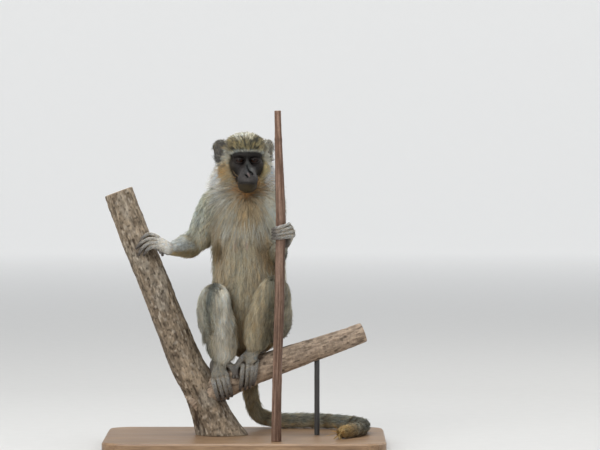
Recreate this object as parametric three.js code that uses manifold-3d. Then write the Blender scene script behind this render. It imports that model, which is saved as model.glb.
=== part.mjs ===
// A young vervet (green) monkey, squatting upright in the fork of a branch, as a life-size still model.
// One hand rests on the leaning trunk at its side and the other grips an upright stem in front of it.
// The perch is three short cut lengths of wood, held by a plain flat base and one rod.
// Units are millimetres. +Z is up, -Y is the way the animal faces, +X is the animal's left.
// The origin lies on the underside of the base, under the middle of the animal.
// Every body part is drawn out to the tips of its coat. Parts are kept FIT apart where they meet.

import * as THREE from "three";
import { mergeVertices } from "three/addons/utils/BufferGeometryUtils.js";
import Module from "manifold-3d";

const wasm = await Module();
wasm.setup();

// ---------------------------------------------------------------- driving sizes
const FIT = 0.35; // gap between pieces that meet
const SMOOTH = 0.2; // facets closer than this to one another are joined

const BASE_WIDTH = 420; // stand base, along X
const BASE_DEPTH = 300; // stand base, along Y
const BASE_THICK = 18;
const BASE_CORNER = 34;
const BASE_EDGE = 2.5; // bevel round the base

const ROD_X = 108; // rod under the free end of the branch
const ROD_RADIUS = 4;

const FOOT_WRAP = 25; // degrees from the top of the branch, towards the front, of each ankle

const EYE_RADIUS = 7.6;
const EYE_HALF_GAP = 11; // from the middle of the face to the middle of an eye
const HEAD_AT = [3.1, -32, 432]; // midpoint of the two eyeballs
const HEAD_YAW = 5; // degrees, face turned to the animal's left
const HEAD_PITCH = 8; // degrees, face lowered

const EAR_HEIGHT = 39;
const EAR_DEPTH = 25;
const EAR_THICK = 6.5;
// middle of each ear in the head's frame, and the angle it is turned back by; the left one is laid closer
const EAR_RIGHT = { at: [35, 25, 6.5], turn: 38 };
const EAR_LEFT = { at: [31.5, 27, 6], turn: 50 };

// ---------------------------------------------------------------- solids
// A closed geometry as a solid for joining and cutting.
function solid(geometry) {
  const g = new THREE.BufferGeometry().setAttribute(
    "position",
    geometry.getAttribute("position"),
  );
  if (geometry.index) g.setIndex(geometry.index);
  const m = mergeVertices(g, 1e-3);
  // faces that shrank to a line at a pole or a seam are dropped
  const kept = [];
  const ix = m.index.array;
  for (let i = 0; i < ix.length; i += 3)
    if (ix[i] !== ix[i + 1] && ix[i + 1] !== ix[i + 2] && ix[i] !== ix[i + 2])
      kept.push(ix[i], ix[i + 1], ix[i + 2]);
  const make = (tri) =>
    new wasm.Manifold(
      new wasm.Mesh({
        numProp: 3,
        vertProperties: new Float32Array(m.attributes.position.array),
        triVerts: new Uint32Array(tri),
      }),
    );
  let made = make(kept);
  if (made.volume() < 0) {
    for (let i = 0; i < kept.length; i += 3)
      [kept[i + 1], kept[i + 2]] = [kept[i + 2], kept[i + 1]];
    made = make(kept);
  }
  return made;
}

// Solid a with each of the others cut away, keeping its largest piece.
function cut(a, ...others) {
  let r = a;
  for (const o of others) r = r.subtract(o);
  const pieces = r.decompose();
  pieces.sort((p, q) => q.volume() - p.volume());
  return pieces[0].asOriginal().simplify(SMOOTH);
}

const join = (...list) => list.reduce((a, b) => a.add(b));

// ---------------------------------------------------------------- lofts
// A closed body drawn along a smooth line through stations [x, y, z, half width, half depth].
// The half width lies along `side`, carried along the line without twisting. Each end is rounded,
// or flat where its cap is 0. `from` and `to` take a stretch of the line, as shares of its length.
function loft(stations, options = {}) {
  const {
    sides = 14,
    rings = 10,
    grow = 0,
    side = [1, 0, 0],
    capStart = 0.9,
    capEnd = 0.9,
    from = 0,
    to = 1,
    flute = null,
  } = options;
  const at = stations.map((s) => new THREE.Vector3(s[0], s[1], s[2]));
  const line = new THREE.CatmullRomCurve3(at, false, "centripetal");
  const size = new THREE.CatmullRomCurve3(
    stations.map((s) => new THREE.Vector3(s[3], s[4] ?? s[3], 0)),
    false,
    "centripetal",
  );
  line.arcLengthDivisions = 400;
  const whole = line.getLength();
  const n = stations.length - 1;
  // share of length -> station parameter, by the line's own table of lengths
  const station = (u) => line.getUtoTmapping(Math.min(1, Math.max(0, u)));
  const sizeAt = (u) => {
    const t = Math.min(0.999999, Math.max(0, station(u))) * n;
    const i = Math.floor(t),
      f = t - i;
    const a = stations[i],
      b = stations[i + 1],
      before = stations[Math.max(0, i - 1)],
      after = stations[Math.min(n, i + 2)];
    const mix = (k) => {
      const v = (s) => s[k] ?? s[3];
      const m0 = (v(b) - v(before)) / 2,
        m1 = (v(after) - v(a)) / 2;
      const f2 = f * f,
        f3 = f2 * f;
      return (
        (2 * f3 - 3 * f2 + 1) * v(a) +
        (f3 - 2 * f2 + f) * m0 +
        (-2 * f3 + 3 * f2) * v(b) +
        (f3 - f2) * m1
      );
    };
    return [mix(3), mix(4)];
  };
  // the side vector, carried along in small steps
  const steps = 200;
  const frames = [];
  let s = new THREE.Vector3(...side);
  for (let i = 0; i <= steps; i++) {
    const u = i / steps;
    const t = line.getTangentAt(u).normalize();
    s = s.clone().addScaledVector(t, -s.dot(t)).normalize();
    frames.push([s, new THREE.Vector3().crossVectors(t, s), t]);
  }
  const length = whole * (to - from);
  const [ra] = [Math.min(...sizeAt(from))];
  const [rb] = [Math.min(...sizeAt(to))];
  const ca = capStart * ra,
    cb = capEnd * rb;
  const g = new THREE.SphereGeometry(1, sides, rings);
  const pos = g.getAttribute("position"),
    uv = g.getAttribute("uv");
  for (let i = 0; i < pos.count; i++) {
    const row = Math.round((1 - uv.getY(i)) * rings);
    const column = i % (sides + 1);
    const angle = (2 * Math.PI * (column % sides)) / sides;
    // where this ring lies, with rings gathered into the rounded ends
    let along, share;
    const inner = row - 1,
      last = rings - 2;
    if (row === 0) (along = -grow), (share = 0);
    else if (row === rings) (along = length + grow), (share = 0);
    else {
      const even = inner / last;
      const round = (1 - Math.cos(Math.PI * even)) / 2;
      const lean = ca > 0 || cb > 0 ? 0.35 : 0;
      const first = ca > 0 ? 0.16 * ca : 0,
        final = cb > 0 ? 0.16 * cb : 0;
      along = first + (length - first - final) * (even + (round - even) * lean);
      const e0 = ca > 0 ? Math.min(1, along / ca) : 1;
      const e1 = cb > 0 ? Math.min(1, (length - along) / cb) : 1;
      share =
        Math.sqrt(1 - (1 - e0) * (1 - e0)) * Math.sqrt(1 - (1 - e1) * (1 - e1));
      if (inner === 0 && ca === 0) along = -grow;
      if (inner === last && cb === 0) along = length + grow;
    }
    const u = Math.min(1, Math.max(0, from + along / whole));
    const over = along + from * whole - u * whole; // past the end of the line
    const [w, d] = sizeAt(u);
    const p = line.getPointAt(u);
    const [vs, vd, vt] = frames[Math.round(u * steps)];
    const f = flute ? flute(angle, u) : 1;
    const pw = share * w * f + (share > 0 ? grow : 0),
      pd = share * d * f + (share > 0 ? grow : 0);
    pos.setXYZ(
      i,
      p.x + vs.x * pw * Math.cos(angle) + vd.x * pd * Math.sin(angle) + vt.x * over,
      p.y + vs.y * pw * Math.cos(angle) + vd.y * pd * Math.sin(angle) + vt.y * over,
      p.z + vs.z * pw * Math.cos(angle) + vd.z * pd * Math.sin(angle) + vt.z * over,
    );
  }
  return g;
}

// A loft and the slightly larger loft that cuts its neighbours clear of it.
const pair = (stations, options = {}) => ({
  body: solid(loft(stations, options)),
  cutter: solid(loft(stations, { ...options, grow: FIT })),
});

// ---------------------------------------------------------------- wood
// The leaning trunk, from its sawn foot on the base to its sawn top above the hand.
const TRUNK = [
  [-30, 10.5, 0, 40],
  [-39, 10, 18.3, 36],
  [-50, 9, 45, 30.5],
  [-64, 8, 82, 27.5],
  [-88, 5, 125, 25.5],
  [-112, 2, 185, 24],
  [-136, 0, 248, 23.2],
  [-160, -2, 305, 22.6],
  [-176, -2, 346, 22.2],
  [-190, -2, 384, 21.6],
];
// The limb that leaves the trunk and carries both feet.
const BRANCH = [
  [-78, 5, 62, 20],
  [-60, 4, 78, 22],
  [-28, 2, 96.5, 22],
  [9, 0, 113, 21],
  [27, 0, 120, 20.5],
  [60, 0, 132, 19],
  [108, 2, 148, 17],
  [150, 6, 162, 15.8],
  [178, 10, 172, 15.2],
];
// The upright stem in front.
const STEM = [
  [47.5, -106, 12, 7.8],
  [48, -106.5, 72, 7.2],
  [49.8, -106, 147, 7],
  [50.8, -106, 177, 7.4],
  [52.3, -106, 222, 7.2],
  [53, -106, 282, 7.4],
  [54.2, -106, 342, 7.4],
  [53, -105.7, 387, 7],
  [50.5, -105.5, 470, 5.3],
  [49.5, -105.5, 506, 5],
];

const ripple = (k, a, b) => (angle, u) =>
  1 + a * Math.sin(k * angle + 9 * u) + b * Math.sin((k + 2) * angle - 14 * u);

const trunkPair = pair(TRUNK, {
  sides: 16,
  rings: 13,
  capStart: 0,
  capEnd: 0,
  flute: ripple(3, 0.035, 0.02),
});
const branchPair = pair(BRANCH, {
  sides: 14,
  rings: 12,
  capStart: 0,
  capEnd: 0,
  side: [0, 1, 0],
  flute: ripple(2, 0.02, 0.015),
});
const stemPair = pair(STEM, { sides: 10, rings: 10, capStart: 0, capEnd: 0 });

// The flat base, a rounded board with a bevelled edge.
function baseBoard() {
  const w = BASE_WIDTH / 2 - BASE_EDGE,
    d = BASE_DEPTH / 2 - BASE_EDGE,
    r = BASE_CORNER;
  const s = new THREE.Shape();
  s.moveTo(-w + r, -d);
  s.lineTo(w - r, -d);
  s.absarc(w - r, -d + r, r, -Math.PI / 2, 0, false);
  s.lineTo(w, d - r);
  s.absarc(w - r, d - r, r, 0, Math.PI / 2, false);
  s.lineTo(-w + r, d);
  s.absarc(-w + r, d - r, r, Math.PI / 2, Math.PI, false);
  s.lineTo(-w, -d + r);
  s.absarc(-w + r, -d + r, r, Math.PI, 1.5 * Math.PI, false);
  const g = new THREE.ExtrudeGeometry(s, {
    depth: BASE_THICK - 2 * BASE_EDGE,
    curveSegments: 4,
    bevelEnabled: true,
    bevelThickness: BASE_EDGE,
    bevelSize: BASE_EDGE,
    bevelSegments: 1,
  });
  g.translate(0, 0, BASE_EDGE);
  return g;
}
const base = solid(baseBoard());
// everything that stands or lies on the board ends just above this
const floorBox = new THREE.BoxGeometry(BASE_WIDTH + 80, BASE_DEPTH + 80, 60);
floorBox.translate(0, 0, BASE_THICK + 0.3 - 30);
const floor = solid(floorBox);

const rodGeometry = new THREE.CylinderGeometry(ROD_RADIUS, ROD_RADIUS, 125, 16, 1);
rodGeometry.rotateX(Math.PI / 2).translate(ROD_X, 2, BASE_THICK + 0.3 + 62.5);
const rod = cut(solid(rodGeometry), branchPair.cutter);

// ---------------------------------------------------------------- head
// The head is one implicit surface in its own frame: x across, -y forward, z up, from the midpoint of
// the eyes. Each form is an ellipsoid or a tapered bar, and neighbours flow into each other over a
// blend. `k` is the share of the coat that is included: 1 out to its tips.
const blend = (a, b, r) => {
  const h = Math.max(r - Math.abs(a - b), 0) / r;
  return Math.min(a, b) - (h * h * r) / 4;
};
const ellipsoid = (p, c, r) => {
  const x = (p[0] - c[0]) / r[0],
    y = (p[1] - c[1]) / r[1],
    z = (p[2] - c[2]) / r[2];
  const k0 = Math.hypot(x, y, z),
    k1 = Math.hypot(x / r[0], y / r[1], z / r[2]);
  return k1 < 1e-9 ? -Math.min(...r) : (k0 * (k0 - 1)) / k1;
};
const bar = (p, a, b, ra, rb) => {
  const d = [b[0] - a[0], b[1] - a[1], b[2] - a[2]],
    q = [p[0] - a[0], p[1] - a[1], p[2] - a[2]];
  const t = Math.min(
    1,
    Math.max(
      0,
      (q[0] * d[0] + q[1] * d[1] + q[2] * d[2]) /
        (d[0] * d[0] + d[1] * d[1] + d[2] * d[2]),
    ),
  );
  return (
    Math.hypot(q[0] - t * d[0], q[1] - t * d[1], q[2] - t * d[2]) -
    (ra + (rb - ra) * t)
  );
};
function headField(p, k) {
  const q = [Math.abs(p[0]), p[1], p[2]];
  // braincase and its cap of hair
  let f = ellipsoid(q, [0, 31, 4.5], [28.5 + 5.5 * k, 36.5 + 7 * k, 26.5 + 6.2 * k]);
  // forehead and the ridge over the eyes
  f = blend(f, ellipsoid(q, [0, 8, 11], [21 + 3 * k, 16 + 2 * k, 13 + 4 * k]), 6);
  f = blend(f, bar(q, [0, -6, 9.2], [17, -1.5, 8.2], 5.2 + k, 5 + k), 5);
  // middle of the face and cheekbones
  f = blend(f, ellipsoid(q, [0, 6, -8], [22, 13, 17]), 6);
  f = blend(f, ellipsoid(q, [16.5, 3, -8], [8.5, 8.5, 6.5]), 6);
  // muzzle, bridge of the nose and its tip
  f = blend(f, bar(q, [0, 0, -15], [0, -24.5, -21.5], 15.5, 12.2), 6);
  f = blend(f, bar(q, [0, -5, 0.5], [0, -29.5, -11.5], 5, 5.2), 5);
  f = blend(f, ellipsoid(q, [0, -33.5, -13.2], [6.4, 4, 4.6]), 3);
  // lips, chin and lower jaw
  f = blend(f, ellipsoid(q, [0, -25.5, -24.5], [14.8, 10.5, 7.5]), 4);
  f = blend(f, bar(q, [0, 6, -30], [0, -22, -33.5], 13 + 2 * k, 9.6), 5);
  f = blend(f, ellipsoid(q, [0, -19, -34.8], [14.2, 12.5, 10.6]), 3);
  // jaw muscles under the whiskers, which flare out and down
  f = blend(
    f,
    ellipsoid(q, [18 + 5 * k, 20, -17 - 2 * k], [10 + 14 * k, 16 + 5 * k, 15 + 5 * k]),
    8,
  );
  f = blend(f, ellipsoid(q, [0, 16, -30], [18 + 8 * k, 20 + 3 * k, 12 + 4 * k]), 8);
  // hollows of the eyes
  const eye = [q[0] - EYE_HALF_GAP, q[1] + 8.5, q[2] - 0.2];
  const hollow = -(Math.hypot(eye[0] / 1.15, eye[1], eye[2] / 0.85) - 7.2);
  const h = Math.max(4 - Math.abs(f - hollow), 0) / 4;
  return Math.max(f, hollow) + h * h;
}

const headMatrix = new THREE.Matrix4()
  .makeTranslation(...HEAD_AT)
  .multiply(new THREE.Matrix4().makeRotationZ((HEAD_YAW * Math.PI) / 180))
  .multiply(new THREE.Matrix4().makeRotationX((HEAD_PITCH * Math.PI) / 180));

// The outer surface, found along each direction of a sphere from the middle of the head.
function headShell(grow) {
  const centre = [0, 12, -6];
  const g = new THREE.SphereGeometry(1, 30, 20);
  g.rotateX(Math.PI / 2); // the sphere's poles lie at the face and the back of the head
  const pos = g.getAttribute("position");
  for (let i = 0; i < pos.count; i++) {
    const d = [pos.getX(i), pos.getY(i), pos.getZ(i)];
    const at = (t) => [
      centre[0] + d[0] * t,
      centre[1] + d[1] * t,
      centre[2] + d[2] * t,
    ];
    let lo = 5,
      hi = 90;
    for (let n = 0; n < 36; n++) {
      const mid = (lo + hi) / 2;
      if (headField(at(mid), 1) > grow) hi = mid;
      else lo = mid;
    }
    pos.setXYZ(i, ...at(hi));
  }
  return g.applyMatrix4(headMatrix);
}

const placed = (x, y, z) => new THREE.Vector3(x, y, z).applyMatrix4(headMatrix);

// Eyeballs, each a full sphere of which the lids leave the front.
const eyeBall = (sign, grow) => {
  const g = new THREE.SphereGeometry(EYE_RADIUS + grow, 12, 8);
  const c = placed(sign * EYE_HALF_GAP, 0, 0);
  return solid(g.translate(c.x, c.y, c.z));
};

// Widens an ear towards its top and bottom, so that it is squarer than an ellipse.
function square(g, half) {
  const pos = g.getAttribute("position");
  for (let i = 0; i < pos.count; i++) {
    const up = Math.min(Math.max(pos.getZ(i) / half, 0), 1),
      down = Math.min(Math.max(-pos.getZ(i) / half, 0), 1);
    pos.setX(i, pos.getX(i) / (1 - 0.3 * up - 0.24 * down));
  }
}

// Ears, thin rounded shells hollowed on the side that faces forward.
function ear(sign, grow) {
  const outer = new THREE.SphereGeometry(1, 14, 9);
  outer.scale(
    EAR_DEPTH / 2 + grow,
    EAR_THICK / 2 + grow,
    EAR_HEIGHT / 2 + grow,
  );
  square(outer, EAR_HEIGHT / 2 + grow);
  const { at, turn: back } = sign < 0 ? EAR_RIGHT : EAR_LEFT;
  const turn = new THREE.Matrix4()
    .makeTranslation(sign * at[0], at[1], at[2])
    .multiply(new THREE.Matrix4().makeRotationZ((sign * back * Math.PI) / 180))
    .multiply(new THREE.Matrix4().makeRotationY((sign * 6 * Math.PI) / 180));
  outer.applyMatrix4(turn).applyMatrix4(headMatrix);
  const shell = solid(outer);
  if (grow) return shell;
  const bowl = new THREE.SphereGeometry(1, 10, 7);
  bowl.scale(EAR_DEPTH / 2 - 4, 4.6, EAR_HEIGHT / 2 - 5);
  square(bowl, EAR_HEIGHT / 2 - 5);
  bowl.translate(sign * 1, -4.6, 0.5);
  bowl.applyMatrix4(turn).applyMatrix4(headMatrix);
  return shell.subtract(solid(bowl));
}

// ---------------------------------------------------------------- body
const TORSO = [
  [4, 30, 131, 30, 28],
  [4, 33, 155, 45, 41],
  [4.5, 31, 185, 52, 51],
  [5, 28, 220, 55, 54],
  [6, 25, 255, 56, 53],
  [5, 21, 290, 54.5, 51],
  [3, 17, 325, 52, 49],
  [1, 13.5, 358, 53, 46.5],
  [0, 11, 385, 50, 41],
  [1, 10, 404, 40, 32],
];
const NECK = [
  [-1, 12, 376, 54, 38],
  [0, 10, 396, 54, 38],
  [1, 6, 412, 49, 36],
  [2, 3, 424, 43, 32],
  [3, 2, 437, 34, 27],
];
const UPPER_ARM_R = [
  [-36, 11, 388, 20, 20],
  [-43, 12, 368, 24.5, 25],
  [-56, 27, 342, 23, 23],
  [-67, 45, 315, 20.5, 21],
  [-75, 58, 299, 16.5, 16.5],
];
const FOREARM_R = [
  [-74, 59, 297.5, 16.5, 16],
  [-84, 43, 301, 19.5, 19.5],
  [-94, 22, 300.5, 16.5, 16],
  [-104, 0, 299, 12.5, 12],
  [-113, -18, 297.2, 10, 8.8],
];
const UPPER_ARM_L = [
  [36, 11, 388, 20, 20],
  [39, 12, 370, 22, 25],
  [42, 9, 335, 19, 22],
  [44, 4, 305, 17.5, 18],
  [46, 0, 288, 14, 14],
];
const FOREARM_L = [
  [46, 2, 287, 14, 14],
  [47.5, -12, 290, 16, 17],
  [50, -36, 294.5, 14, 15],
  [52.5, -60, 299, 11, 12],
  [58, -79, 306, 8.6, 9.4],
];
const THIGH_R = [
  [-22, 36, 172, 32, 32],
  [-31, 20, 184, 36, 38],
  [-40, -8, 203, 28.5, 36],
  [-43, -38, 222, 23, 27],
  [-43.5, -60, 234, 18.5, 19],
  [-43.5, -68, 238, 14, 14],
];
const SHANK_R = [
  [-42, -74, 243, 12, 13],
  [-41, -67, 231, 16.5, 18],
  [-38.5, -53, 208, 18.5, 20],
  [-35, -41, 187, 22, 20],
  [-33.5, -30, 166, 25, 18],
  [-34.5, -21, 146, 24, 15.5],
  [-38, -16, 128, 17, 12.5],
];
const THIGH_L = [
  [28, 36, 172, 32, 32],
  [36, 20, 186, 34, 38],
  [40, -8, 210, 28, 36],
  [43.5, -36, 232, 23.5, 27.5],
  [45, -56, 246, 19, 20],
  [45.5, -64, 250, 15, 15],
];
const SHANK_L = [
  [45, -69, 257, 12, 13],
  [42, -63, 245, 17, 18],
  [31, -51, 223, 18, 19],
  [25, -40, 202, 20, 18.5],
  [19.5, -29, 180, 22, 17],
  [17.5, -21, 159, 20.5, 14.5],
  [16.5, -16, 147, 17, 12.5],
];
const TAIL = [
  [4, 60, 158, 15],
  [4, 80, 146, 14],
  [5, 98, 112, 13],
  [8, 107, 68, 12.6],
  [18, 115, 40, 12.2],
  [45, 122, 30.6, 12.2],
  [85, 123, 30.2, 11.8],
  [125, 113, 29.9, 11.5],
  [158, 88, 29.7, 11.3],
  [175, 52, 29.6, 11.2],
  [177, 12, 29.6, 11.2],
  [166, -26, 29.4, 11],
  [150, -56, 28.4, 10],
  [140, -74, 27, 8.4],
];
const TAIL_LENGTHS = [0, 0.2, 0.4, 0.6, 0.8, 1];

const torso = pair(TORSO, { sides: 22, rings: 15 });
const neck = pair(NECK, { sides: 18, rings: 7, capStart: 0.3, capEnd: 0.5 });
const headBody = solid(headShell(0)),
  headCutter = solid(headShell(FIT));
const limb = (stations, rings = 10) => pair(stations, { sides: 14, rings });
const upperArmR = limb(UPPER_ARM_R, 9),
  forearmR = limb(FOREARM_R, 9),
  upperArmL = limb(UPPER_ARM_L, 9),
  forearmL = limb(FOREARM_L, 9);
const thighR = pair(THIGH_R, { sides: 16, rings: 11 }),
  shankR = limb(SHANK_R),
  thighL = pair(THIGH_L, { sides: 16, rings: 11 }),
  shankL = limb(SHANK_L);

// ---------------------------------------------------------------- hands
// A finger is a narrow loft through its joints, from the knuckle to the tip.
const finger = (points, r0, r1, grow = 0, sides = 7, rings = 5) =>
  solid(
    loft(
      points.map((p, i) => [...p, r0 + ((r1 - r0) * i) / (points.length - 1)]),
      { sides, rings, grow, side: [0.3, 0.2, 1], capStart: 0.8, capEnd: 0.9 },
    ),
  );

// The right hand lies over the front of the trunk, thumb lowest.
const HAND_R_PALM = [
  [-108, -13, 297.5, 9, 8],
  [-117, -20, 300, 10.5, 8],
  [-126, -23, 305, 11, 7],
  [-133, -24.5, 309, 10, 5.5],
];
const HAND_R_FINGERS = [
  [[-127, -20, 313.5], [-136, -22, 319], [-145, -25.5, 320.5], [-151, -28.5, 316.5], [-155.5, -29.5, 311]],
  [[-126, -22, 310.5], [-137, -26.5, 313.5], [-147.5, -30.5, 312], [-155.5, -31, 307], [-161, -29.5, 301]],
  [[-125, -24, 305.5], [-136.5, -29.5, 308.2], [-147, -32.5, 305.5], [-153.5, -31.3, 299.5], [-157.5, -29.5, 291.5]],
  [[-124, -25, 300.5], [-133, -30, 302.5], [-141.5, -31.8, 301.5], [-147, -30.2, 297], [-150.3, -28.8, 291]],
];
const HAND_R_THUMB = [[-114, -17, 296], [-120.5, -22, 298.5], [-125, -26, 297], [-124.5, -27, 291]];

// The left hand holds the stem: palm on its outer side, fingers round the front, thumb round the back.
const HAND_L_PALM = [
  [58, -78, 305.5, 8, 8.5],
  [62.5, -88, 314.5, 8, 10],
  [67, -97, 323.5, 7, 12],
  [69.5, -104, 329, 5, 11.5],
];
// each finger's knuckle, across and up, and the height of its tip
const HAND_L_ROW = [
  [66.5, 338.8, 331.3],
  [70, 334, 327],
  [72.8, 328.6, 322.6],
  [73.2, 323, 318],
];
const HAND_L_TIP_X = 43;
const HAND_L_WRAP = [
  // share of the way from tip to knuckle across, y, share of the way from knuckle height to tip height
  [1, -102, 0],
  [0.93, -111, 0.1],
  [0.6, -117, 0.42],
  [0.27, -116.4, 0.72],
  [0.04, -111.4, 0.93],
  [0, -107.8, 1],
];
const HAND_L_THUMB = [[61, -86, 316], [58, -92.5, 320], [52, -94.4, 322], [47.5, -96, 322.5]];

function handR(grow) {
  return join(
    solid(loft(HAND_R_PALM, { sides: 12, rings: 7, grow, side: [0.1, 0.1, 1] })),
    ...HAND_R_FINGERS.map((f) => finger(f, 3.9, 3.1, grow)),
    finger(HAND_R_THUMB, 4.6, 3.8, grow),
  );
}
function handL(grow) {
  return join(
    solid(loft(HAND_L_PALM, { sides: 12, rings: 7, grow })),
    ...HAND_L_ROW.map(([across, knuckle, tip]) =>
      finger(
        HAND_L_WRAP.map(([x, y, t]) => [
          HAND_L_TIP_X + (across - HAND_L_TIP_X) * x,
          y,
          knuckle + (tip - knuckle) * t,
        ]),
        3.55,
        2.95,
        grow,
        6,
        7,
      ),
    ),
    finger(HAND_L_THUMB, 4.3, 3.4, grow),
  );
}

// ---------------------------------------------------------------- feet
// Each foot wraps over the branch. A point of it is given round the branch: `turn` in degrees from
// the top towards the front, `out` beyond the bark, and `along` the branch from the foot's middle.
function footFrame(centre, next, radius) {
  const b = new THREE.Vector3(...next).sub(new THREE.Vector3(...centre)).normalize();
  const front = new THREE.Vector3(0, -1, 0);
  const top = new THREE.Vector3().crossVectors(b, front).normalize();
  if (top.z < 0) top.negate();
  return (turn, out, along) => {
    const t = (turn * Math.PI) / 180,
      r = radius + out;
    return [0, 1, 2].map(
      (i) =>
        centre[i] +
        r * (top.getComponent(i) * Math.cos(t) + front.getComponent(i) * Math.sin(t)) +
        along * b.getComponent(i),
    );
  };
}
const FOOT_SOLE = [
  // turn, out, along, half width, half thickness
  [-42, 9, 4, 8, 7.5],
  [-20, 10.5, 2, 11, 9],
  [12, 11, 0, 12.5, 10],
  [42, 8.5, -3, 13, 8],
  [64, 6.5, -5, 12.5, 6],
];
const FOOT_TOES = [-10.5, -3.6, 3.4, 10]; // places across the foot
const FOOT_TOE = [
  [56, 6, 0],
  [80, 6, -1],
  [103, 5.6, -2],
  [124, 4.4, -3],
  [140, 3.6, -3.5],
];
function foot(centre, next, radius, inner, slant, grow) {
  const at = footFrame(centre, next, radius);
  const shift = (turn, along) => along - slant * turn;
  const b = new THREE.Vector3(...next).sub(new THREE.Vector3(...centre)).normalize();
  const sole = loft(
    FOOT_SOLE.map(([t, o, a, w, d]) => [...at(t, o, shift(t, a * -inner * 0)), w, d]),
    { sides: 12, rings: 8, grow, side: b.toArray() },
  );
  const toes = FOOT_TOES.map((row, i) =>
    finger(
      FOOT_TOE.map(([t, o, a]) =>
        at(t - (Math.abs(row) > 8 ? 5 : 0), o, shift(t, row * 1.02 + inner * a * 0.4)),
      ),
      4.3,
      3.4,
      grow,
      6,
      6,
    ),
  );
  const big = finger(
    [
      at(14, 8, shift(14, inner * 8)),
      at(34, 6.5, shift(34, inner * 17)),
      at(58, 5.4, shift(58, inner * 23)),
      at(82, 4.6, shift(82, inner * 25)),
    ],
    6.2,
    4.4,
    grow,
    7,
    6,
  );
  return join(solid(sole), ...toes, big);
}
const FOOT_R = [[-28, 2, 96.5], [9, 0, 113], 22.3, 1, 0.06];
const FOOT_L = [[27, 0, 120], [60, 0, 132], 20.8, -1, 0.24];

const handRBody = handR(0),
  handLBody = handL(0),
  footRBody = foot(...FOOT_R, 0),
  footLBody = foot(...FOOT_L, 0);
const handRCut = handR(FIT),
  handLCut = handL(FIT),
  footRCut = foot(...FOOT_R, FIT),
  footLCut = foot(...FOOT_L, FIT);

// ---------------------------------------------------------------- tail
const tailPieces = TAIL_LENGTHS.slice(0, -1).map((a, i) => {
  const b = TAIL_LENGTHS[i + 1];
  const gap = i ? FIT / 620 : 0; // the line is about 620 long
  return solid(
    loft(TAIL, {
      sides: 10,
      rings: 9,
      from: a + gap,
      to: b,
      capStart: i ? 0 : 0.8,
      capEnd: b === 1 ? 1.3 : 0,
    }),
  );
});

// ---------------------------------------------------------------- the model
const COLOURS = {
  olive: [0x7d7650, 0.85],
  cream: [0xc9c0a8, 0.85],
  grey: [0x8d8c80, 0.85],
  skin: [0x2b2724, 0.6],
  eye: [0x3a2414, 0.15],
  gold: [0xb69a5c, 0.85],
  bark: [0x7d6a55, 0.9],
  vine: [0x7a5b4b, 0.8],
  board: [0x5a4636, 0.5],
  steel: [0x4a4a4c, 0.4, 0.9],
};
const group = new THREE.Group();
function place(name, made, colour) {
  const m = made.getMesh(),
    n = m.numProp;
  const v = new Float32Array(m.numVert * 3);
  for (let i = 0; i < m.numVert; i++)
    for (let j = 0; j < 3; j++) v[i * 3 + j] = m.vertProperties[i * n + j];
  const g = new THREE.BufferGeometry()
    .setAttribute("position", new THREE.BufferAttribute(v, 3))
    .setIndex(new THREE.BufferAttribute(new Uint32Array(m.triVerts), 1));
  g.computeVertexNormals();
  const [color, roughness, metalness = 0] = COLOURS[colour];
  const mesh = new THREE.Mesh(
    g,
    new THREE.MeshStandardMaterial({ color, roughness, metalness }),
  );
  mesh.name = name;
  group.add(mesh);
}

const eyeRCut = eyeBall(-1, FIT),
  eyeLCut = eyeBall(1, FIT);
const wood = [trunkPair.cutter, branchPair.cutter, stemPair.cutter];

place("torso", cut(torso.body, headCutter, branchPair.cutter, trunkPair.cutter), "cream");
place("head", cut(headBody, eyeRCut, eyeLCut), "olive");
place("neck", cut(neck.body, torso.cutter, headCutter), "cream");
place("eye_left", eyeBall(1, 0), "eye");
place("eye_right", eyeBall(-1, 0), "eye");
place("ear_left", cut(ear(1, 0), headCutter), "skin");
place("ear_right", cut(ear(-1, 0), headCutter), "skin");

place("upper_arm_right", cut(upperArmR.body, torso.cutter, neck.cutter, headCutter), "grey");
place("upper_arm_left", cut(upperArmL.body, torso.cutter, neck.cutter, headCutter), "grey");
place("forearm_right", cut(forearmR.body, torso.cutter, upperArmR.cutter), "grey");
place("forearm_left", cut(forearmL.body, torso.cutter, upperArmL.cutter), "grey");
place("hand_right", cut(handRBody, forearmR.cutter, trunkPair.cutter), "skin");
place("hand_left", cut(handLBody, forearmL.cutter, stemPair.cutter), "skin");

place(
  "thigh_right",
  cut(thighR.body, torso.cutter, forearmR.cutter, upperArmR.cutter, ...wood),
  "grey",
);
place(
  "thigh_left",
  cut(thighL.body, torso.cutter, forearmL.cutter, upperArmL.cutter, thighR.cutter, ...wood),
  "grey",
);
place("shank_right", cut(shankR.body, torso.cutter, thighR.cutter, ...wood), "cream");
place(
  "shank_left",
  cut(shankL.body, torso.cutter, thighL.cutter, forearmL.cutter, shankR.cutter, ...wood),
  "cream",
);
place(
  "foot_right",
  cut(footRBody, shankR.cutter, torso.cutter, thighR.cutter, ...wood),
  "skin",
);
place(
  "foot_left",
  cut(footLBody, shankL.cutter, torso.cutter, thighL.cutter, footRCut, ...wood),
  "skin",
);

tailPieces.forEach((piece, i) =>
  place(
    `tail_${i + 1}`,
    cut(piece, torso.cutter, thighR.cutter, thighL.cutter, floor, ...wood),
    i > 3 ? "gold" : "olive",
  ),
);

place("perch_trunk", cut(trunkPair.body, floor), "bark");
place("perch_branch", cut(branchPair.body, trunkPair.cutter), "bark");
place("perch_stem", cut(stemPair.body, floor), "vine");
place("stand_base", base, "board");
place("stand_rod", rod, "steel");

export default group;
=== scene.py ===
import math
import time

import bmesh
import bpy
import numpy as np
import openvdb
from mathutils import Matrix, Vector, kdtree


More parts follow.
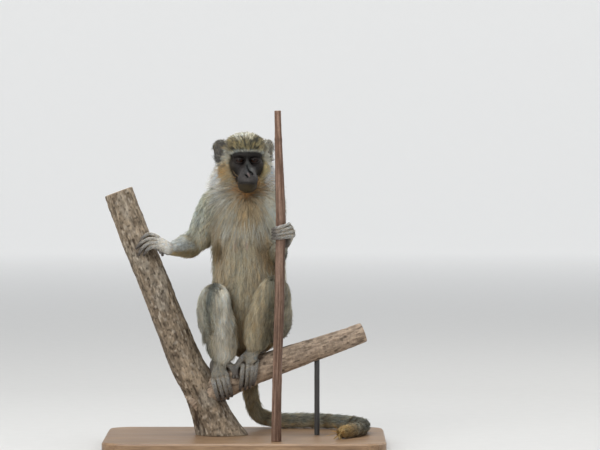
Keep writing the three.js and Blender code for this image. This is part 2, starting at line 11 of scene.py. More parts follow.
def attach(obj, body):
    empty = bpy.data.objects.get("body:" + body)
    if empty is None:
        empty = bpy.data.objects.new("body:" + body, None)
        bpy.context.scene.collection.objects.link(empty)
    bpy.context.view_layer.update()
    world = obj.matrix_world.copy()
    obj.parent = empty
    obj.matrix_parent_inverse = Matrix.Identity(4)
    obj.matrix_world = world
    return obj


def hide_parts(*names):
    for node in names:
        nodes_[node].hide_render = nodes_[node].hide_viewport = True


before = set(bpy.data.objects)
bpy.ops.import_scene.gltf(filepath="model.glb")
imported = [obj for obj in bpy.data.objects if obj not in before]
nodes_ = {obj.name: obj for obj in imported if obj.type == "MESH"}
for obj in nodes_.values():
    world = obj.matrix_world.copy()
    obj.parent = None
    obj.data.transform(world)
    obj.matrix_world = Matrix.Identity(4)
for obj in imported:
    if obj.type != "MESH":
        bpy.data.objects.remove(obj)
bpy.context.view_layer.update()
T0 = time.time()
MM = 0.001
rng = np.random.default_rng(71)

# ------------------------------------------------------------------ stations, in mm, as in the part
# each station: x, y, z, half width, half depth. Every radius is out to the tips of the coat.
TORSO = [[4, 30, 131, 30, 28], [4, 33, 155, 45, 41], [4.5, 31, 185, 52, 51], [5, 28, 220, 55, 54], [6, 25, 255, 56, 53],
         [5, 21, 290, 54.5, 51], [3, 17, 325, 52, 49], [1, 13.5, 358, 53, 46.5], [0, 11, 385, 50, 41], [1, 10, 404, 40, 32]]
NECK = [[-1, 12, 376, 54, 38], [0, 10, 396, 54, 38], [1, 6, 412, 49, 36], [2, 3, 424, 43, 32], [3, 2, 437, 34, 27]]
UPPER_ARM_R = [[-36, 11, 388, 20, 20], [-43, 12, 368, 24.5, 25], [-56, 27, 342, 23, 23], [-67, 45, 315, 20.5, 21], [-75, 58, 299, 16.5, 16.5]]
FOREARM_R = [[-74, 59, 297.5, 16.5, 16], [-84, 43, 301, 19.5, 19.5], [-94, 22, 300.5, 16.5, 16], [-104, 0, 299, 12.5, 12], [-113, -18, 297.2, 10, 8.8]]
UPPER_ARM_L = [[36, 11, 388, 20, 20], [39, 12, 370, 22, 25], [42, 9, 335, 19, 22], [44, 4, 305, 17.5, 18], [46, 0, 288, 14, 14]]
FOREARM_L = [[46, 2, 287, 14, 14], [47.5, -12, 290, 16, 17], [50, -36, 294.5, 14, 15], [52.5, -60, 299, 11, 12], [58, -79, 306, 8.6, 9.4]]
THIGH_R = [[-22, 36, 172, 32, 32], [-31, 20, 184, 36, 38], [-40, -8, 203, 28.5, 36], [-43, -38, 222, 23, 27], [-43.5, -60, 234, 18.5, 19], [-43.5, -68, 238, 14, 14]]
SHANK_R = [[-42, -74, 243, 12, 13], [-41, -67, 231, 16.5, 18], [-38.5, -53, 208, 18.5, 20], [-35, -41, 187, 22, 20], [-33.5, -30, 166, 25, 18], [-34.5, -21, 146, 24, 15.5], [-38, -16, 128, 17, 12.5]]
THIGH_L = [[28, 36, 172, 32, 32], [36, 20, 186, 34, 38], [40, -8, 210, 28, 36], [43.5, -36, 232, 23.5, 27.5], [45, -56, 246, 19, 20], [45.5, -64, 250, 15, 15]]
SHANK_L = [[45, -69, 257, 12, 13], [42, -63, 245, 17, 18], [31, -51, 223, 18, 19], [25, -40, 202, 20, 18.5], [19.5, -29, 180, 22, 17], [17.5, -21, 159, 20.5, 14.5], [16.5, -16, 147, 17, 12.5]]
TAIL = [[4, 60, 158, 15], [4, 80, 146, 14], [5, 98, 112, 13], [8, 107, 68, 12.6], [18, 115, 40, 12.2], [45, 122, 30.6, 12.2], [85, 123, 30.2, 11.8],
        [125, 113, 29.9, 11.5], [158, 88, 29.7, 11.3], [175, 52, 29.6, 11.2], [177, 12, 29.6, 11.2], [166, -26, 29.4, 11], [150, -56, 28.4, 10], [140, -74, 27, 8.4]]
TRUNK = [[-30, 10.5, 0, 40], [-39, 10, 18.3, 36], [-50, 9, 45, 30.5], [-64, 8, 82, 27.5], [-88, 5, 125, 25.5], [-112, 2, 185, 24], [-136, 0, 248, 23.2], [-160, -2, 305, 22.6], [-176, -2, 346, 22.2], [-190, -2, 384, 21.6]]
BRANCH = [[-78, 5, 62, 20], [-60, 4, 78, 22], [-28, 2, 96.5, 22], [9, 0, 113, 21], [27, 0, 120, 20.5], [60, 0, 132, 19], [108, 2, 148, 17], [150, 6, 162, 15.8], [178, 10, 172, 15.2]]
STEM = [[47.5, -106, 12, 7.8], [48, -106.5, 72, 7.2], [49.8, -106, 147, 7], [50.8, -106, 177, 7.4], [52.3, -106, 222, 7.2], [53, -106, 282, 7.4], [54.2, -106, 342, 7.4], [53, -105.7, 387, 7], [50.5, -105.5, 470, 5.3], [49.5, -105.5, 506, 5]]
HAND_R_PALM = [[-108, -13, 297.5, 9, 8], [-117, -20, 300, 10.5, 8], [-126, -23, 305, 11, 7], [-133, -24.5, 309, 10, 5.5]]
HAND_R_FINGERS = [
    [[-127, -20, 313.5], [-136, -22, 319], [-145, -25.5, 320.5], [-151, -28.5, 316.5], [-155.5, -29.5, 311]],
    [[-126, -22, 310.5], [-137, -26.5, 313.5], [-147.5, -30.5, 312], [-155.5, -31, 307], [-161, -29.5, 301]],
    [[-125, -24, 305.5], [-136.5, -29.5, 308.2], [-147, -32.5, 305.5], [-153.5, -31.3, 299.5], [-157.5, -29.5, 291.5]],
    [[-124, -25, 300.5], [-133, -30, 302.5], [-141.5, -31.8, 301.5], [-147, -30.2, 297], [-150.3, -28.8, 291]]]
HAND_R_THUMB = [[-114, -17, 296], [-120.5, -22, 298.5], [-125, -26, 297], [-124.5, -27, 291]]
HAND_L_PALM = [[58, -78, 305.5, 8, 8.5], [62.5, -88, 314.5, 8, 10], [67, -97, 323.5, 7, 12], [69.5, -104, 329, 5, 11.5]]
HAND_L_ROW = [[66.5, 338.8, 331.3], [70, 334, 327], [72.8, 328.6, 322.6], [73.2, 323, 318]]
HAND_L_WRAP = [[1, -102, 0], [0.93, -111, 0.1], [0.6, -117, 0.42], [0.27, -116.4, 0.72], [0.04, -111.4, 0.93], [0, -108.6, 1]]
HAND_L_THUMB = [[61, -86, 316], [58, -92.5, 320], [52, -94.4, 322], [47.5, -96, 322.5]]
FOOT_SOLE = [[-42, 9, 4, 8, 7.5], [-20, 10.5, 2, 11, 9], [12, 11, 0, 12.5, 10], [42, 8.5, -3, 13, 8], [64, 6.5, -5, 12.5, 6]]
FOOT_TOES = [-10.5, -3.6, 3.4, 10]
FOOT_TOE = [[56, 6, 0], [80, 6, -1], [103, 5.6, -2], [124, 4.4, -3], [140, 3.6, -3.5]]
FOOT_R = [[-28, 2, 96.5], [9, 0, 113], 22.3, 1, 0.06]
FOOT_L = [[27, 0, 120], [60, 0, 132], 20.8, -1, 0.24]

EYE_RADIUS = 7.6
EYE_HALF_GAP = 11.0
HEAD_AT = np.array([3.1, -32.0, 432.0])
HEAD_YAW = math.radians(5)
HEAD_PITCH = math.radians(8)
_rz = np.array(Matrix.Rotation(HEAD_YAW, 3, "Z"))
_rx = np.array(Matrix.Rotation(HEAD_PITCH, 3, "X"))
HEAD_R = _rz @ _rx


def unit(v):
    return v / np.maximum(np.linalg.norm(v, axis=-1, keepdims=True), 1e-9)


def smin(a, b, k):
    h = np.maximum(k - np.abs(a - b), 0) / k
    return np.minimum(a, b) - h * h * k * 0.25


def smax(a, b, k):
    return -smin(-a, -b, k)


def step(x, lo, hi):
    """0 below lo, 1 above hi, smooth between."""
    t = np.clip((x - lo) / (hi - lo), 0, 1)
    return t * t * (3 - 2 * t)


# ------------------------------------------------------------------ noise
def _hash(i, j, k, seed):
    h = (i.astype(np.int64) * 374761393 + j.astype(np.int64) * 668265263 + k.astype(np.int64) * 2147483647 + seed * 1274126177) & 0xFFFFFFFF
    h = ((h ^ (h >> 13)) * 1274126177) & 0xFFFFFFFF
    h = ((h ^ (h >> 16)) * 2246822519) & 0xFFFFFFFF
    return (h ^ (h >> 15)).astype(np.float64) / 0xFFFFFFFF


def noise(P, size, seed=0):
    """Smooth noise from -1 to 1, with features about `size` across (a number, or one per axis)."""
    q = P / np.asarray(size, float)
    i = np.floor(q)
    f = q - i
    f = f * f * (3 - 2 * f)
    i = i.astype(np.int64)
    total = 0
    for dx in (0, 1):
        for dy in (0, 1):
            for dz in (0, 1):
                w = (f[:, 0] if dx else 1 - f[:, 0]) * (f[:, 1] if dy else 1 - f[:, 1]) * (f[:, 2] if dz else 1 - f[:, 2])
                total = total + w * _hash(i[:, 0] + dx, i[:, 1] + dy, i[:, 2] + dz, seed)
    return total * 2 - 1


def fractal(P, size, seed=0, octaves=3):
    size = np.asarray(size, float)
    return sum(noise(P, size / 2**o, seed + o) * 0.5**o for o in range(octaves)) / (2 - 2.0 ** (1 - octaves))


# ------------------------------------------------------------------ lofts as fields
class Loft:
    """A rounded body along a smooth line. coat is how deep its fur is at each station."""

    def __init__(self, stations, coat=0.0, side=(1, 0, 0), gap=4.0, caps=(0.9, 0.9), k=6.0, name="", group=""):
        st = np.array([[*s[:4], s[4] if len(s) > 4 else s[3]] for s in stations], float)
        P, A = st[:, :3], np.column_stack([st[:, 3:5], np.broadcast_to(coat, len(st))])
        E = np.vstack([2 * P[0] - P[1], P, 2 * P[-1] - P[-2]])
        B = np.vstack([A[0], A, A[-1]])
        C, Z = [], []
        for i in range(len(P) - 1):
            p0, p1, p2, p3 = E[i : i + 4]
            d0, d1, d2 = (max(np.linalg.norm(b - a), 1e-4) ** 0.5 for a, b in ((p0, p1), (p1, p2), (p2, p3)))
            m1 = ((p1 - p0) / d0 - (p2 - p0) / (d0 + d1) + (p2 - p1) / d1) * d1
            m2 = ((p2 - p1) / d1 - (p3 - p1) / (d1 + d2) + (p3 - p2) / d2) * d1
            n = max(2, math.ceil(np.linalg.norm(p2 - p1) / gap))
            t = np.linspace(0, 1, n, endpoint=False)
            if i == len(P) - 2:
                t = np.append(t, 1.0)
            t = t[:, None]
            h = (2 * t**3 - 3 * t**2 + 1, t**3 - 2 * t**2 + t, -2 * t**3 + 3 * t**2, t**3 - t**2)
            C.append(h[0] * p1 + h[1] * m1 + h[2] * p2 + h[3] * m2)
            a0, a1, a2, a3 = B[i : i + 4]
            Z.append(h[0] * a1 + h[1] * (a2 - a0) / 2 + h[2] * a2 + h[3] * (a3 - a1) / 2)
        self.C, self.Z = np.vstack(C), np.vstack(Z)
        self.L = np.append(0, np.cumsum(np.linalg.norm(np.diff(self.C, axis=0), axis=1)))
        self.T = unit(np.gradient(self.C, self.L, axis=0))
        s, S = np.array(side, float), []
        for t in self.T:
            s = unit(s - (s @ t) * t)
            S.append(s)
        self.S = np.array(S)
        self.D = np.cross(self.T, self.S)
        r0, r1 = self.Z[0, :2].min(), self.Z[-1, :2].min()
        self.caps = (max(caps[0] * r0, 1e-3), max(caps[1] * r1, 1e-3))
        self.k, self.name, self.group = k, name, group
        reach = self.Z[:, :2].max(1)[:, None] + 12
        self.lo, self.hi = (self.C - reach).min(0), (self.C + reach).max(0)
        self.start, self.whole = 0.0, self.L[-1]

    def part(self, a, b, name):
        """The stretch of this loft between samples a and b, as a loft of its own with flat inner ends."""
        o = object.__new__(Loft)
        o.__dict__.update(self.__dict__)
        o.C, o.Z, o.T, o.S, o.D = (v[a:b] for v in (self.C, self.Z, self.T, self.S, self.D))
        o.L = self.L[a:b] - self.L[a]
        o.caps = (self.caps[0] if a == 0 else 0.02, self.caps[1] if b >= len(self.L) else 0.02)
        o.start, o.whole, o.name = self.L[a], self.L[-1], name
        reach = o.Z[:, :2].max(1)[:, None] + 12
        o.lo, o.hi = (o.C - reach).min(0), (o.C + reach).max(0)
        return o

    def near(self, P):
        return np.all((P > self.lo) & (P < self.hi), axis=1)

    def local(self, P):
        j = ((self.C**2).sum(1)[None] - 2 * (P @ self.C.T)).argmin(1)
        x = self.L[j] + ((P - self.C[j]) * self.T[j]).sum(1)
        f = np.interp(x, self.L, np.arange(len(self.L)))
        i = np.minimum(f.astype(int), len(self.L) - 2)
        f = (f - i)[:, None]
        mix = lambda A: A[i] * (1 - f) + A[i + 1] * f
        q = P - mix(self.C)
        S, D = mix(self.S), mix(self.D)
        return x, (q * S).sum(1), (q * D).sum(1), mix(self.Z), mix(self.T)

    def dist(self, P, share):
        x, a, b, z, _ = self.local(P)
        less = z[:, 2] * (1 - share)
        w, d = np.maximum(z[:, 0] - less, 1), np.maximum(z[:, 1] - less, 1)
        ca, cb = self.caps
        c = np.maximum(ca + less * (ca > 0.1) - x, 0) / ca
        e = np.maximum(x - (self.L[-1] - cb - less * (cb > 0.1)), 0) / cb
        end = np.where(c > e, c, e)
        cap = np.where(c > e, ca, cb)
        k0 = np.sqrt((a / w) ** 2 + (b / d) ** 2 + end**2) + 1e-9
        k1 = np.sqrt((a / w**2) ** 2 + (b / d**2) ** 2 + (end / cap) ** 2) + 1e-9
        return k0 * (k0 - 1) / k1

    def uv(self, P):
        x, a, b, z, _ = self.local(P)
        return np.arctan2(b / z[:, 1], a / z[:, 0]) / (2 * math.pi) + 0.5, np.clip((x + self.start) / self.whole, 0, 1)


def ellipsoid(q, c, r):
    p = q - np.array(c, float)
    r = np.stack([np.broadcast_to(v, len(q)) for v in r], 1)
    k0 = np.linalg.norm(p / r, axis=1) + 1e-9
    k1 = np.linalg.norm(p / r**2, axis=1) + 1e-9
    return k0 * (k0 - 1) / k1


def bar(q, a, b, ra, rb):
    a, b = np.array(a, float), np.array(b, float)
    d, p = b - a, q - a
    t = np.clip((p @ d) / (d @ d), 0, 1)
    return np.linalg.norm(p - t[:, None] * d, axis=1) - (ra + (rb - ra) * t)


def rotation(angle, axis):
    return np.array(Matrix.Rotation(angle, 3, axis))


EAR_AT = np.array([[35.0, 25.0, 6.5], [31.5, 27.0, 6.0]])
EAR_R = np.array([rotation(math.radians(a), "Z") @ rotation(math.radians(6), "Y") for a in (38, 50)])


def ear_local(q, left):
    """Mirrored head point -> frame of its ear: x across it (outwards), y through it, z up."""
    return np.where(left[:, None], (q - EAR_AT[1]) @ EAR_R[1], (q - EAR_AT[0]) @ EAR_R[0])


def ear_field(q, left):
    e = ear_local(q, left)
    x, y, z = e.T
    # outline: rounded, a little drawn up and back at the top, curling forward at the rim
    wide = 1 - 0.3 * np.clip(z / 19.5, 0, 1) - 0.24 * np.clip(-z / 19.5, 0, 1)
    e2 = np.stack([(x - 0.03 * np.maximum(z, 0)) * wide, y + 0.012 * x * x + 0.004 * z * z, z], 1)
    shell = ellipsoid(e2, (0, 0.6, 0), (12.5, 2.9, 19.4))
    bowl = ellipsoid(e2, (0.2, -4.6, 0.6), (10.1, 5.0, 16.6))
    f = smax(shell, -bowl, 1.6)
    # the soft inner fold, the small flap before the hole, and the hole
    t = np.clip((z + 9) / 19, 0, 1)
    bend = np.stack([e2[:, 0] - (6.0 - 9.0 * t * t), e2[:, 1] + 0.4, np.where(t * (1 - t) > 0, 0, np.minimum(np.abs(z + 9), np.abs(z - 10)))], 1)
    ridge = np.linalg.norm(bend, axis=1) - (1.5 - 0.7 * np.abs(2 * t - 1))
    f = smin(f, ridge, 2.6)
    f = smin(f, ellipsoid(e2, (-8.2, -1.8, -6), (3.0, 2.4, 4.8)), 2.4)
    return smax(f, -ellipsoid(e2, (-4.2, -1.4, -6.2), (2.4, 3.4, 3.6)), 1.6)


# seen from the front: the furrow beside the bridge of the nose and the two nostrils, as lines of (x, z)
FURROW = [(-1.5, -4.8), (-0.8, -8.3), (0.7, -11.0), (2.6, -12.6)]
NOSTRILS = [[(3.0, -12.6), (5.0, -14.2), (5.8, -16.4)], [(-4.4, -16.6), (-2.6, -17.4), (-1.2, -19.8)]]
SEPTUM = [(-0.8, -14.0), (1.5, -18.2)]


def along_line(x, z, line, width):
    """1 on a line in the front view, falling to 0 beside it."""
    d = np.full(len(x), 1e9)
    for (x0, z0), (x1, z1) in zip(line, line[1:]):
        dx, dz = x1 - x0, z1 - z0
        t = np.clip(((x - x0) * dx + (z - z0) * dz) / (dx * dx + dz * dz), 0, 1)
        d = np.minimum(d, np.hypot(x - x0 - t * dx, z - z0 - t * dz))
    return np.exp(-((d / width) ** 2))


def head_field(Q, k):
    """The head in its own frame. k is the share of its coat, from 0 on the skin to 1 at the hair's tips."""
    q = Q.copy()
    left = Q[:, 0] > 0
    q[:, 0] = np.abs(q[:, 0])
    x, y, z = q.T
    k = np.broadcast_to(k, len(q))
    f = ellipsoid(q, (0, 31, 4.5), (28.5 + 5.5 * k, 36.5 + 7 * k, 26.5 + 6.2 * k))
    f = smin(f, ellipsoid(q, (0, 8, 11), (21 + 3 * k, 16 + 2 * k, 13 + 4 * k)), 6)
    f = smin(f, bar(q, (0, -6, 9.2), (17, -1.5, 8.2), 5.2, 5) - k, 5)
    f = smin(f, ellipsoid(q, (0, 6, -8), (22, 13, 17)), 6)
    f = smin(f, ellipsoid(q, (16.5, 3, -8), (8.5, 8.5, 6.5)), 6)
    f = smin(f, bar(q, (0, 0, -15), (0, -24.5, -21.5), 15.5, 12.2), 6)
    f = smin(f, bar(q, (0, -5, 0.5), (0, -30.5, -14.5), 5, 5.2), 5)
    f = smin(f, ellipsoid(q, (0.4, -34.0, -15.4), (6.5, 4, 4.9)), 3)
    f = smin(f, ellipsoid(q, (0, -25.0, -24.5), (14.8, 10.5, 7.5)), 6)
    f = smin(f, bar(q, (0, 6, -30), (0, -22, -33.5), 13, 9.6) - 2 * k * step(y, -14, 4), 5)
    f = smin(f, ellipsoid(q, (0, -19, -34.8), (14.2, 12.5, 10.6)), 7)
    jaw = ellipsoid(q, (18, 20, -17), (10, 16, 15))
    whisk = ellipsoid(q, (23, 20, -19), (24, 21, 20))
    f = smin(f, jaw * (1 - k) + whisk * k, 8)
    f = smin(f, ellipsoid(q, (0, 16, -30), (18 + 8 * k, 20 + 3 * k, 12 + 4 * k)), 8)
    # the hollow of the eye, the ball of the lids in it, and the opening between them
    e = q - np.array([EYE_HALF_GAP, 0, 0])
    hollow = -(np.sqrt((e[:, 0] / 1.15) ** 2 + (e[:, 1] + 8.5) ** 2 + (e[:, 2] / 0.85) ** 2) - 7.2)
    f = smax(f, hollow, 4)
    r = np.linalg.norm(e, axis=1)
    f = smin(f, r - 8.45, 2.0)
    across = e[:, 0] / np.where(e[:, 0] > 0, 6.4, 6.9)
    arch = np.maximum(1 - across**2, 0)
    top = 2.35 * arch**0.75 + 0.25 * across
    low = -2.1 * arch**0.8 + 0.15 * across
    gap = np.maximum(np.maximum(e[:, 2] - top, low - e[:, 2]), np.abs(across) * 6 - 5.6)
    f = smax(f, -np.maximum(np.maximum(gap, e[:, 1] + 1.5), 6.9 - r), 0.5)
    # folds over and under the lids
    front = step(-e[:, 1], 2, 6)
    fold = 3.9 + 1.6 * (1 - (e[:, 0] / 8) ** 2)
    f = f + 0.45 * np.exp(-(((e[:, 2] - fold) / 0.7) ** 2)) * front * (np.abs(e[:, 0]) < 8)
    fold = -3.6 - 1.4 * (1 - (e[:, 0] / 8) ** 2)
    f = f + 0.3 * np.exp(-(((e[:, 2] - fold) / 0.8) ** 2)) * front * (np.abs(e[:, 0]) < 8)
    fold = -6.4 - 1.8 * (1 - (e[:, 0] / 9) ** 2)
    f = f + 0.25 * np.exp(-(((e[:, 2] - fold) / 0.9) ** 2)) * front * (np.abs(e[:, 0]) < 9)
    # the furrow, the nostrils as slanting slits under the tip of the nose, and the wing that borders each
    nose = step(-y, 22, 28)
    f = f + 1.6 * along_line(Q[:, 0], z, FURROW, 1.0) * step(-y, 10, 15)
    for slit in NOSTRILS:
        f = f + 1.9 * along_line(Q[:, 0], z, slit, 1.05) * nose
    f = f + 0.35 * np.exp(-((np.hypot(x - 7.4, (z + 14.4) * 0.8) / 1.3 - 1.2) ** 2) * 2.5) * step(-y, 26, 31)
    # the mouth
    mouth = -28.2 - 0.018 * x * x
    along = step(-y, 8, 14) * step(15.5 - x, 0, 3)
    f = f + 0.5 * np.exp(-(((z - mouth) / 0.7) ** 2)) * along
    f = f - 0.25 * np.exp(-(((z - mouth + 2.6) / 1.6) ** 2)) * along - 0.2 * np.exp(-(((z - mouth - 2.4) / 1.5) ** 2)) * along
    # ears
    return smin(f, ear_field(q, left) - 0.25 * k, 3.5)


class Head:
    k, name, group = 8.0, "head", "head"
    lo, hi = np.array([-62.0, -88, 370]), np.array([68.0, 62, 492])

    def near(self, P):
        return np.all((P > self.lo) & (P < self.hi), axis=1)

    def dist(self, P, share):
        return head_field((P - HEAD_AT) @ HEAD_R, share)

    def uv(self, P):
        q = unit((P - HEAD_AT) @ HEAD_R - [0, 12, -6])
        return np.arctan2(q[:, 0], -q[:, 1]) / (2 * math.pi) + 0.5, np.arcsin(np.clip(q[:, 2], -1, 1)) / math.pi + 0.5


def finger(points, r0, r1, k, name, group):
    n = len(points)
    st = [[*p, r0 + (r1 - r0) * i / (n - 1)] for i, p in enumerate(points)]
    # the finger tapers evenly from its root to its tip
    return Loft(st, coat=0.55, side=(0.3, 0.2, 1), gap=2.5, caps=(0.8, 0.9), k=k, name=name, group=group)


def foot_at(centre, nxt, radius):
    centre, nxt = np.array(centre, float), np.array(nxt, float)
    b = unit(nxt - centre)
    front = np.array([0.0, -1, 0])
    top = unit(np.cross(b, front))
    if top[2] < 0:
        top = -top

    def at(turn, out, along):
        t, r = math.radians(turn), radius + out
        return centre + r * (top * math.cos(t) + front * math.sin(t)) + along * b

    return at, b


def foot_parts(centre, nxt, radius, inner, slant, tag):
    at, b = foot_at(centre, nxt, radius)
    shift = lambda turn, along: along - slant * turn
    sole = Loft([[*at(t, o, shift(t, 0)), w, d] for t, o, a, w, d in FOOT_SOLE], coat=0.8, side=b, k=5, name="sole_" + tag, group="foot_" + tag)
    parts = [sole]
    for i, row in enumerate(FOOT_TOES):
        pts = [at(t - (5 if abs(row) > 8 else 0), o, shift(t, row * 1.02 + inner * a * 0.4)) for t, o, a in FOOT_TOE]
        parts.append(finger(pts, 4.3, 3.4, 0.8, f"toe{i}_{tag}", "foot_" + tag))
    pts = [at(14, 8, shift(14, inner * 8)), at(34, 6.5, shift(34, inner * 17)), at(58, 5.4, shift(58, inner * 23)), at(82, 4.6, shift(82, inner * 25))]
    parts.append(finger(pts, 6.2, 4.4, 2.5, "toe4_" + tag, "foot_" + tag))
    return parts


tail = Loft(TAIL, coat=[5] * 13 + [4], caps=(0.8, 1.3), k=8, group="tail")
_cuts = np.linspace(0, len(tail.L), 7).astype(int)
TAIL_PARTS = [tail.part(max(a - 2, 0), min(b + 2, len(tail.L)), f"tail_{i}") for i, (a, b) in enumerate(zip(_cuts, _cuts[1:]))]
for _p in TAIL_PARTS[1:]:
    _p.k = 0.5

PARTS = [
    Loft(TORSO, coat=[6, 7, 8, 8, 8, 8, 8, 8, 8, 8], k=10, name="torso", group="torso"),
    Loft(NECK, coat=[24, 22, 17, 13, 10], caps=(0.3, 0.5), k=12, name="neck", group="neck"),
    Head(),
    Loft(UPPER_ARM_R, coat=[5, 6, 5.5, 5, 4.5], k=8, name="upper_arm_right", group="arm_right"),
    Loft(FOREARM_R, coat=[4.5, 5, 4.5, 3.2, 1.6], k=6, name="forearm_right", group="arm_right"),
    Loft(UPPER_ARM_L, coat=[5, 6, 5.5, 5, 4.5], k=8, name="upper_arm_left", group="arm_left"),
    Loft(FOREARM_L, coat=[4.5, 5, 4.5, 3.2, 1.6], k=6, name="forearm_left", group="arm_left"),
    Loft(THIGH_R, coat=[7, 7, 7, 6, 5, 4.5], k=5, name="thigh_right", group="leg_right"),
    Loft(SHANK_R, coat=[3.5, 5, 6, 7.5, 8.5, 7.5, 4.5], k=5, name="shank_right", group="leg_right"),
    Loft(THIGH_L, coat=[7, 7, 7, 6, 5, 4.5], k=5, name="thigh_left", group="leg_left"),
    Loft(SHANK_L, coat=[3.5, 5, 6, 7.5, 8, 6.5, 4.5], k=5, name="shank_left", group="leg_left"),
    *TAIL_PARTS,
    Loft(HAND_R_PALM, coat=1.0, side=(0.1, 0.1, 1), k=4, name="palm_right", group="hand_right"),
    *[finger(p, 3.9, 3.1, 0.5, f"finger{i}_right", "hand_right") for i, p in enumerate(HAND_R_FINGERS)],
    finger(HAND_R_THUMB, 4.6, 3.8, 2.0, "finger4_right", "hand_right"),
    Loft(HAND_L_PALM, coat=1.0, k=4, name="palm_left", group="hand_left"),
    *[finger([[43 + (w - 43) * x, y, a + (b - a) * t] for x, y, t in HAND_L_WRAP], 3.55, 2.95, 0.4, f"finger{i}_left", "hand_left") for i, (w, a, b) in enumerate(HAND_L_ROW)],
    finger(HAND_L_THUMB, 4.3, 3.4, 2.0, "finger4_left", "hand_left"),
    *foot_parts(*FOOT_R, "right"),
    *foot_parts(*FOOT_L, "left"),
]
BY_NAME = {p.name: p for p in PARTS}


def field(P, share=0.0):
    """Signed distance, in mm, to the skin (share 0), the tips of the coat (share 1) or between."""
    share = np.broadcast_to(np.asarray(share, float), len(P))
    F = np.full(len(P), 60.0)
    for part in PARTS:
        m = np.flatnonzero(part.near(P))
        if len(m):
            F[m] = smin(F[m], part.dist(P[m], share[m]), part.k)
    return F


def gradient(P, share=0.0, h=0.35):
    f = field(P, share)
    g = np.stack([field(P + h * np.eye(3)[i], share) - f for i in range(3)], 1) / h
    return f, g


def settle(P, share=0.0, times=3, most=1.5):
    """Points moved along the field's gradient onto its surface."""
    P = P.copy()
    for _ in range(times):
        f, g = gradient(P, share)
        P -= np.clip(f / np.maximum((g * g).sum(1), 0.2), -most, most)[:, None] * g
    return P


def owner(P):
    """Index of the part each point lies nearest to, and the distance to each group of parts."""
    best, which = np.full(len(P), 1e3), np.zeros(len(P), int)
    groups = {}
    for i, part in enumerate(PARTS):
        m = np.flatnonzero(part.near(P))
        if not len(m):
            continue
        d = part.dist(P[m], np.zeros(len(m)))
        better = d < best[m]
        best[m[better]] = d[better]
        which[m[better]] = i
        g = groups.setdefault(part.name, np.full(len(P), 40.0))
        g[m] = d
    return which, groups



# ------------------------------------------------------------------ the skin's surface
def skin_surface(h=1.5):
    """The skin as triangles: a grid near its surface, meshed, thinned where fur hides it, then set exactly."""
    fur_parts = [p for p in PARTS]
    lo = np.min([p.lo for p in fur_parts], 0) - 2
    hi = np.max([p.hi for p in fur_parts], 0) + 2
    big = 4 * h
    n = np.ceil((hi - lo) / big).astype(int) + 1
    ax = [lo[i] + big * (np.arange(n[i]) + 0.5) for i in range(3)]
    G = np.stack(np.meshgrid(*ax, indexing="ij"), -1).reshape(-1, 3)
    coarse = np.concatenate([field(c) for c in np.array_split(G, max(1, len(G) // 60000))])
    near = np.abs(coarse) < big * 1.35
    arr = np.repeat(np.repeat(np.repeat(coarse.reshape(n), 4, 0), 4, 1), 4, 2).astype(np.float32)
    arr = np.clip(arr, -6 * h, 6 * h)
    cells = np.array(np.unravel_index(np.flatnonzero(near), n)).T
    sub = np.stack(np.meshgrid(*[np.arange(4)] * 3, indexing="ij"), -1).reshape(-1, 3)
    idx = (cells[:, None] * 4 + sub[None]).reshape(-1, 3)
    P = lo + h * (idx + 0.5)
    F = np.concatenate([field(c) for c in np.array_split(P, max(1, len(P) // 120000))])
    arr[idx[:, 0], idx[:, 1], idx[:, 2]] = F
    g = openvdb.FloatGrid(6 * h)
    g.copyFromArray(arr)
    pts, tris, quads = g.convertToPolygons(isovalue=0.0, adaptivity=0.0)
    V = lo + h * (np.asarray(pts, float) + 0.5)
    quads = np.asarray(quads, int)[:, ::-1]
    tris = np.asarray(tris, int).reshape(-1, 3)[:, ::-1]
    T = np.vstack([quads[:, [0, 1, 2]], quads[:, [0, 2, 3]], tris])
    return V, T


def mesh_of(name, V, F, smooth=True):
    me = bpy.data.meshes.new(name)
    me.vertices.add(len(V))
    me.vertices.foreach_set("co", np.asarray(V, np.float32).ravel())
    F = np.asarray(F, np.int32)
    k = F.shape[1]
    me.loops.add(F.size)
    me.loops.foreach_set("vertex_index", F.ravel())
    me.polygons.add(len(F))
    me.polygons.foreach_set("loop_start", np.arange(0, F.size, k, dtype=np.int32))
    me.update(calc_edges=True)
    if smooth:
        me.polygons.foreach_set("use_smooth", np.ones(len(F), bool))
    return me


def add(name, mesh, material=None):
    o = bpy.data.objects.new(name, mesh)
    bpy.context.scene.collection.objects.link(o)
    if material:
        mesh.materials.append(material)
    return o


def coords(me):
    a = np.empty(len(me.vertices) * 3, np.float32)
    me.vertices.foreach_get("co", a)
    return a.reshape(-1, 3).astype(float)


def triangles(me):
    me.calc_loop_triangles()
    a = np.empty(len(me.loop_triangles) * 3, np.int32)
    me.loop_triangles.foreach_get("vertices", a)
    return a.reshape(-1, 3)


def thin(me, ratio, keep):
    """Fewer triangles, mostly away from the vertices where keep is 1."""
    o = add("tmp", me)
    vg = o.vertex_groups.new(name="w")
    w = np.clip(1 - keep, 0, 1)
    for level in (0.0, 0.5, 1.0):
        ids = np.flatnonzero(np.abs(w - level) < 0.25).tolist()
        vg.add(ids, max(level, 0.02), "REPLACE")
    m = o.modifiers.new("d", "DECIMATE")
    m.ratio, m.vertex_group, m.vertex_group_factor = ratio, "w", 4.0
    got = bpy.data.meshes.new_from_object(o.evaluated_get(bpy.context.evaluated_depsgraph_get()))
    bpy.data.objects.remove(o)
    return got


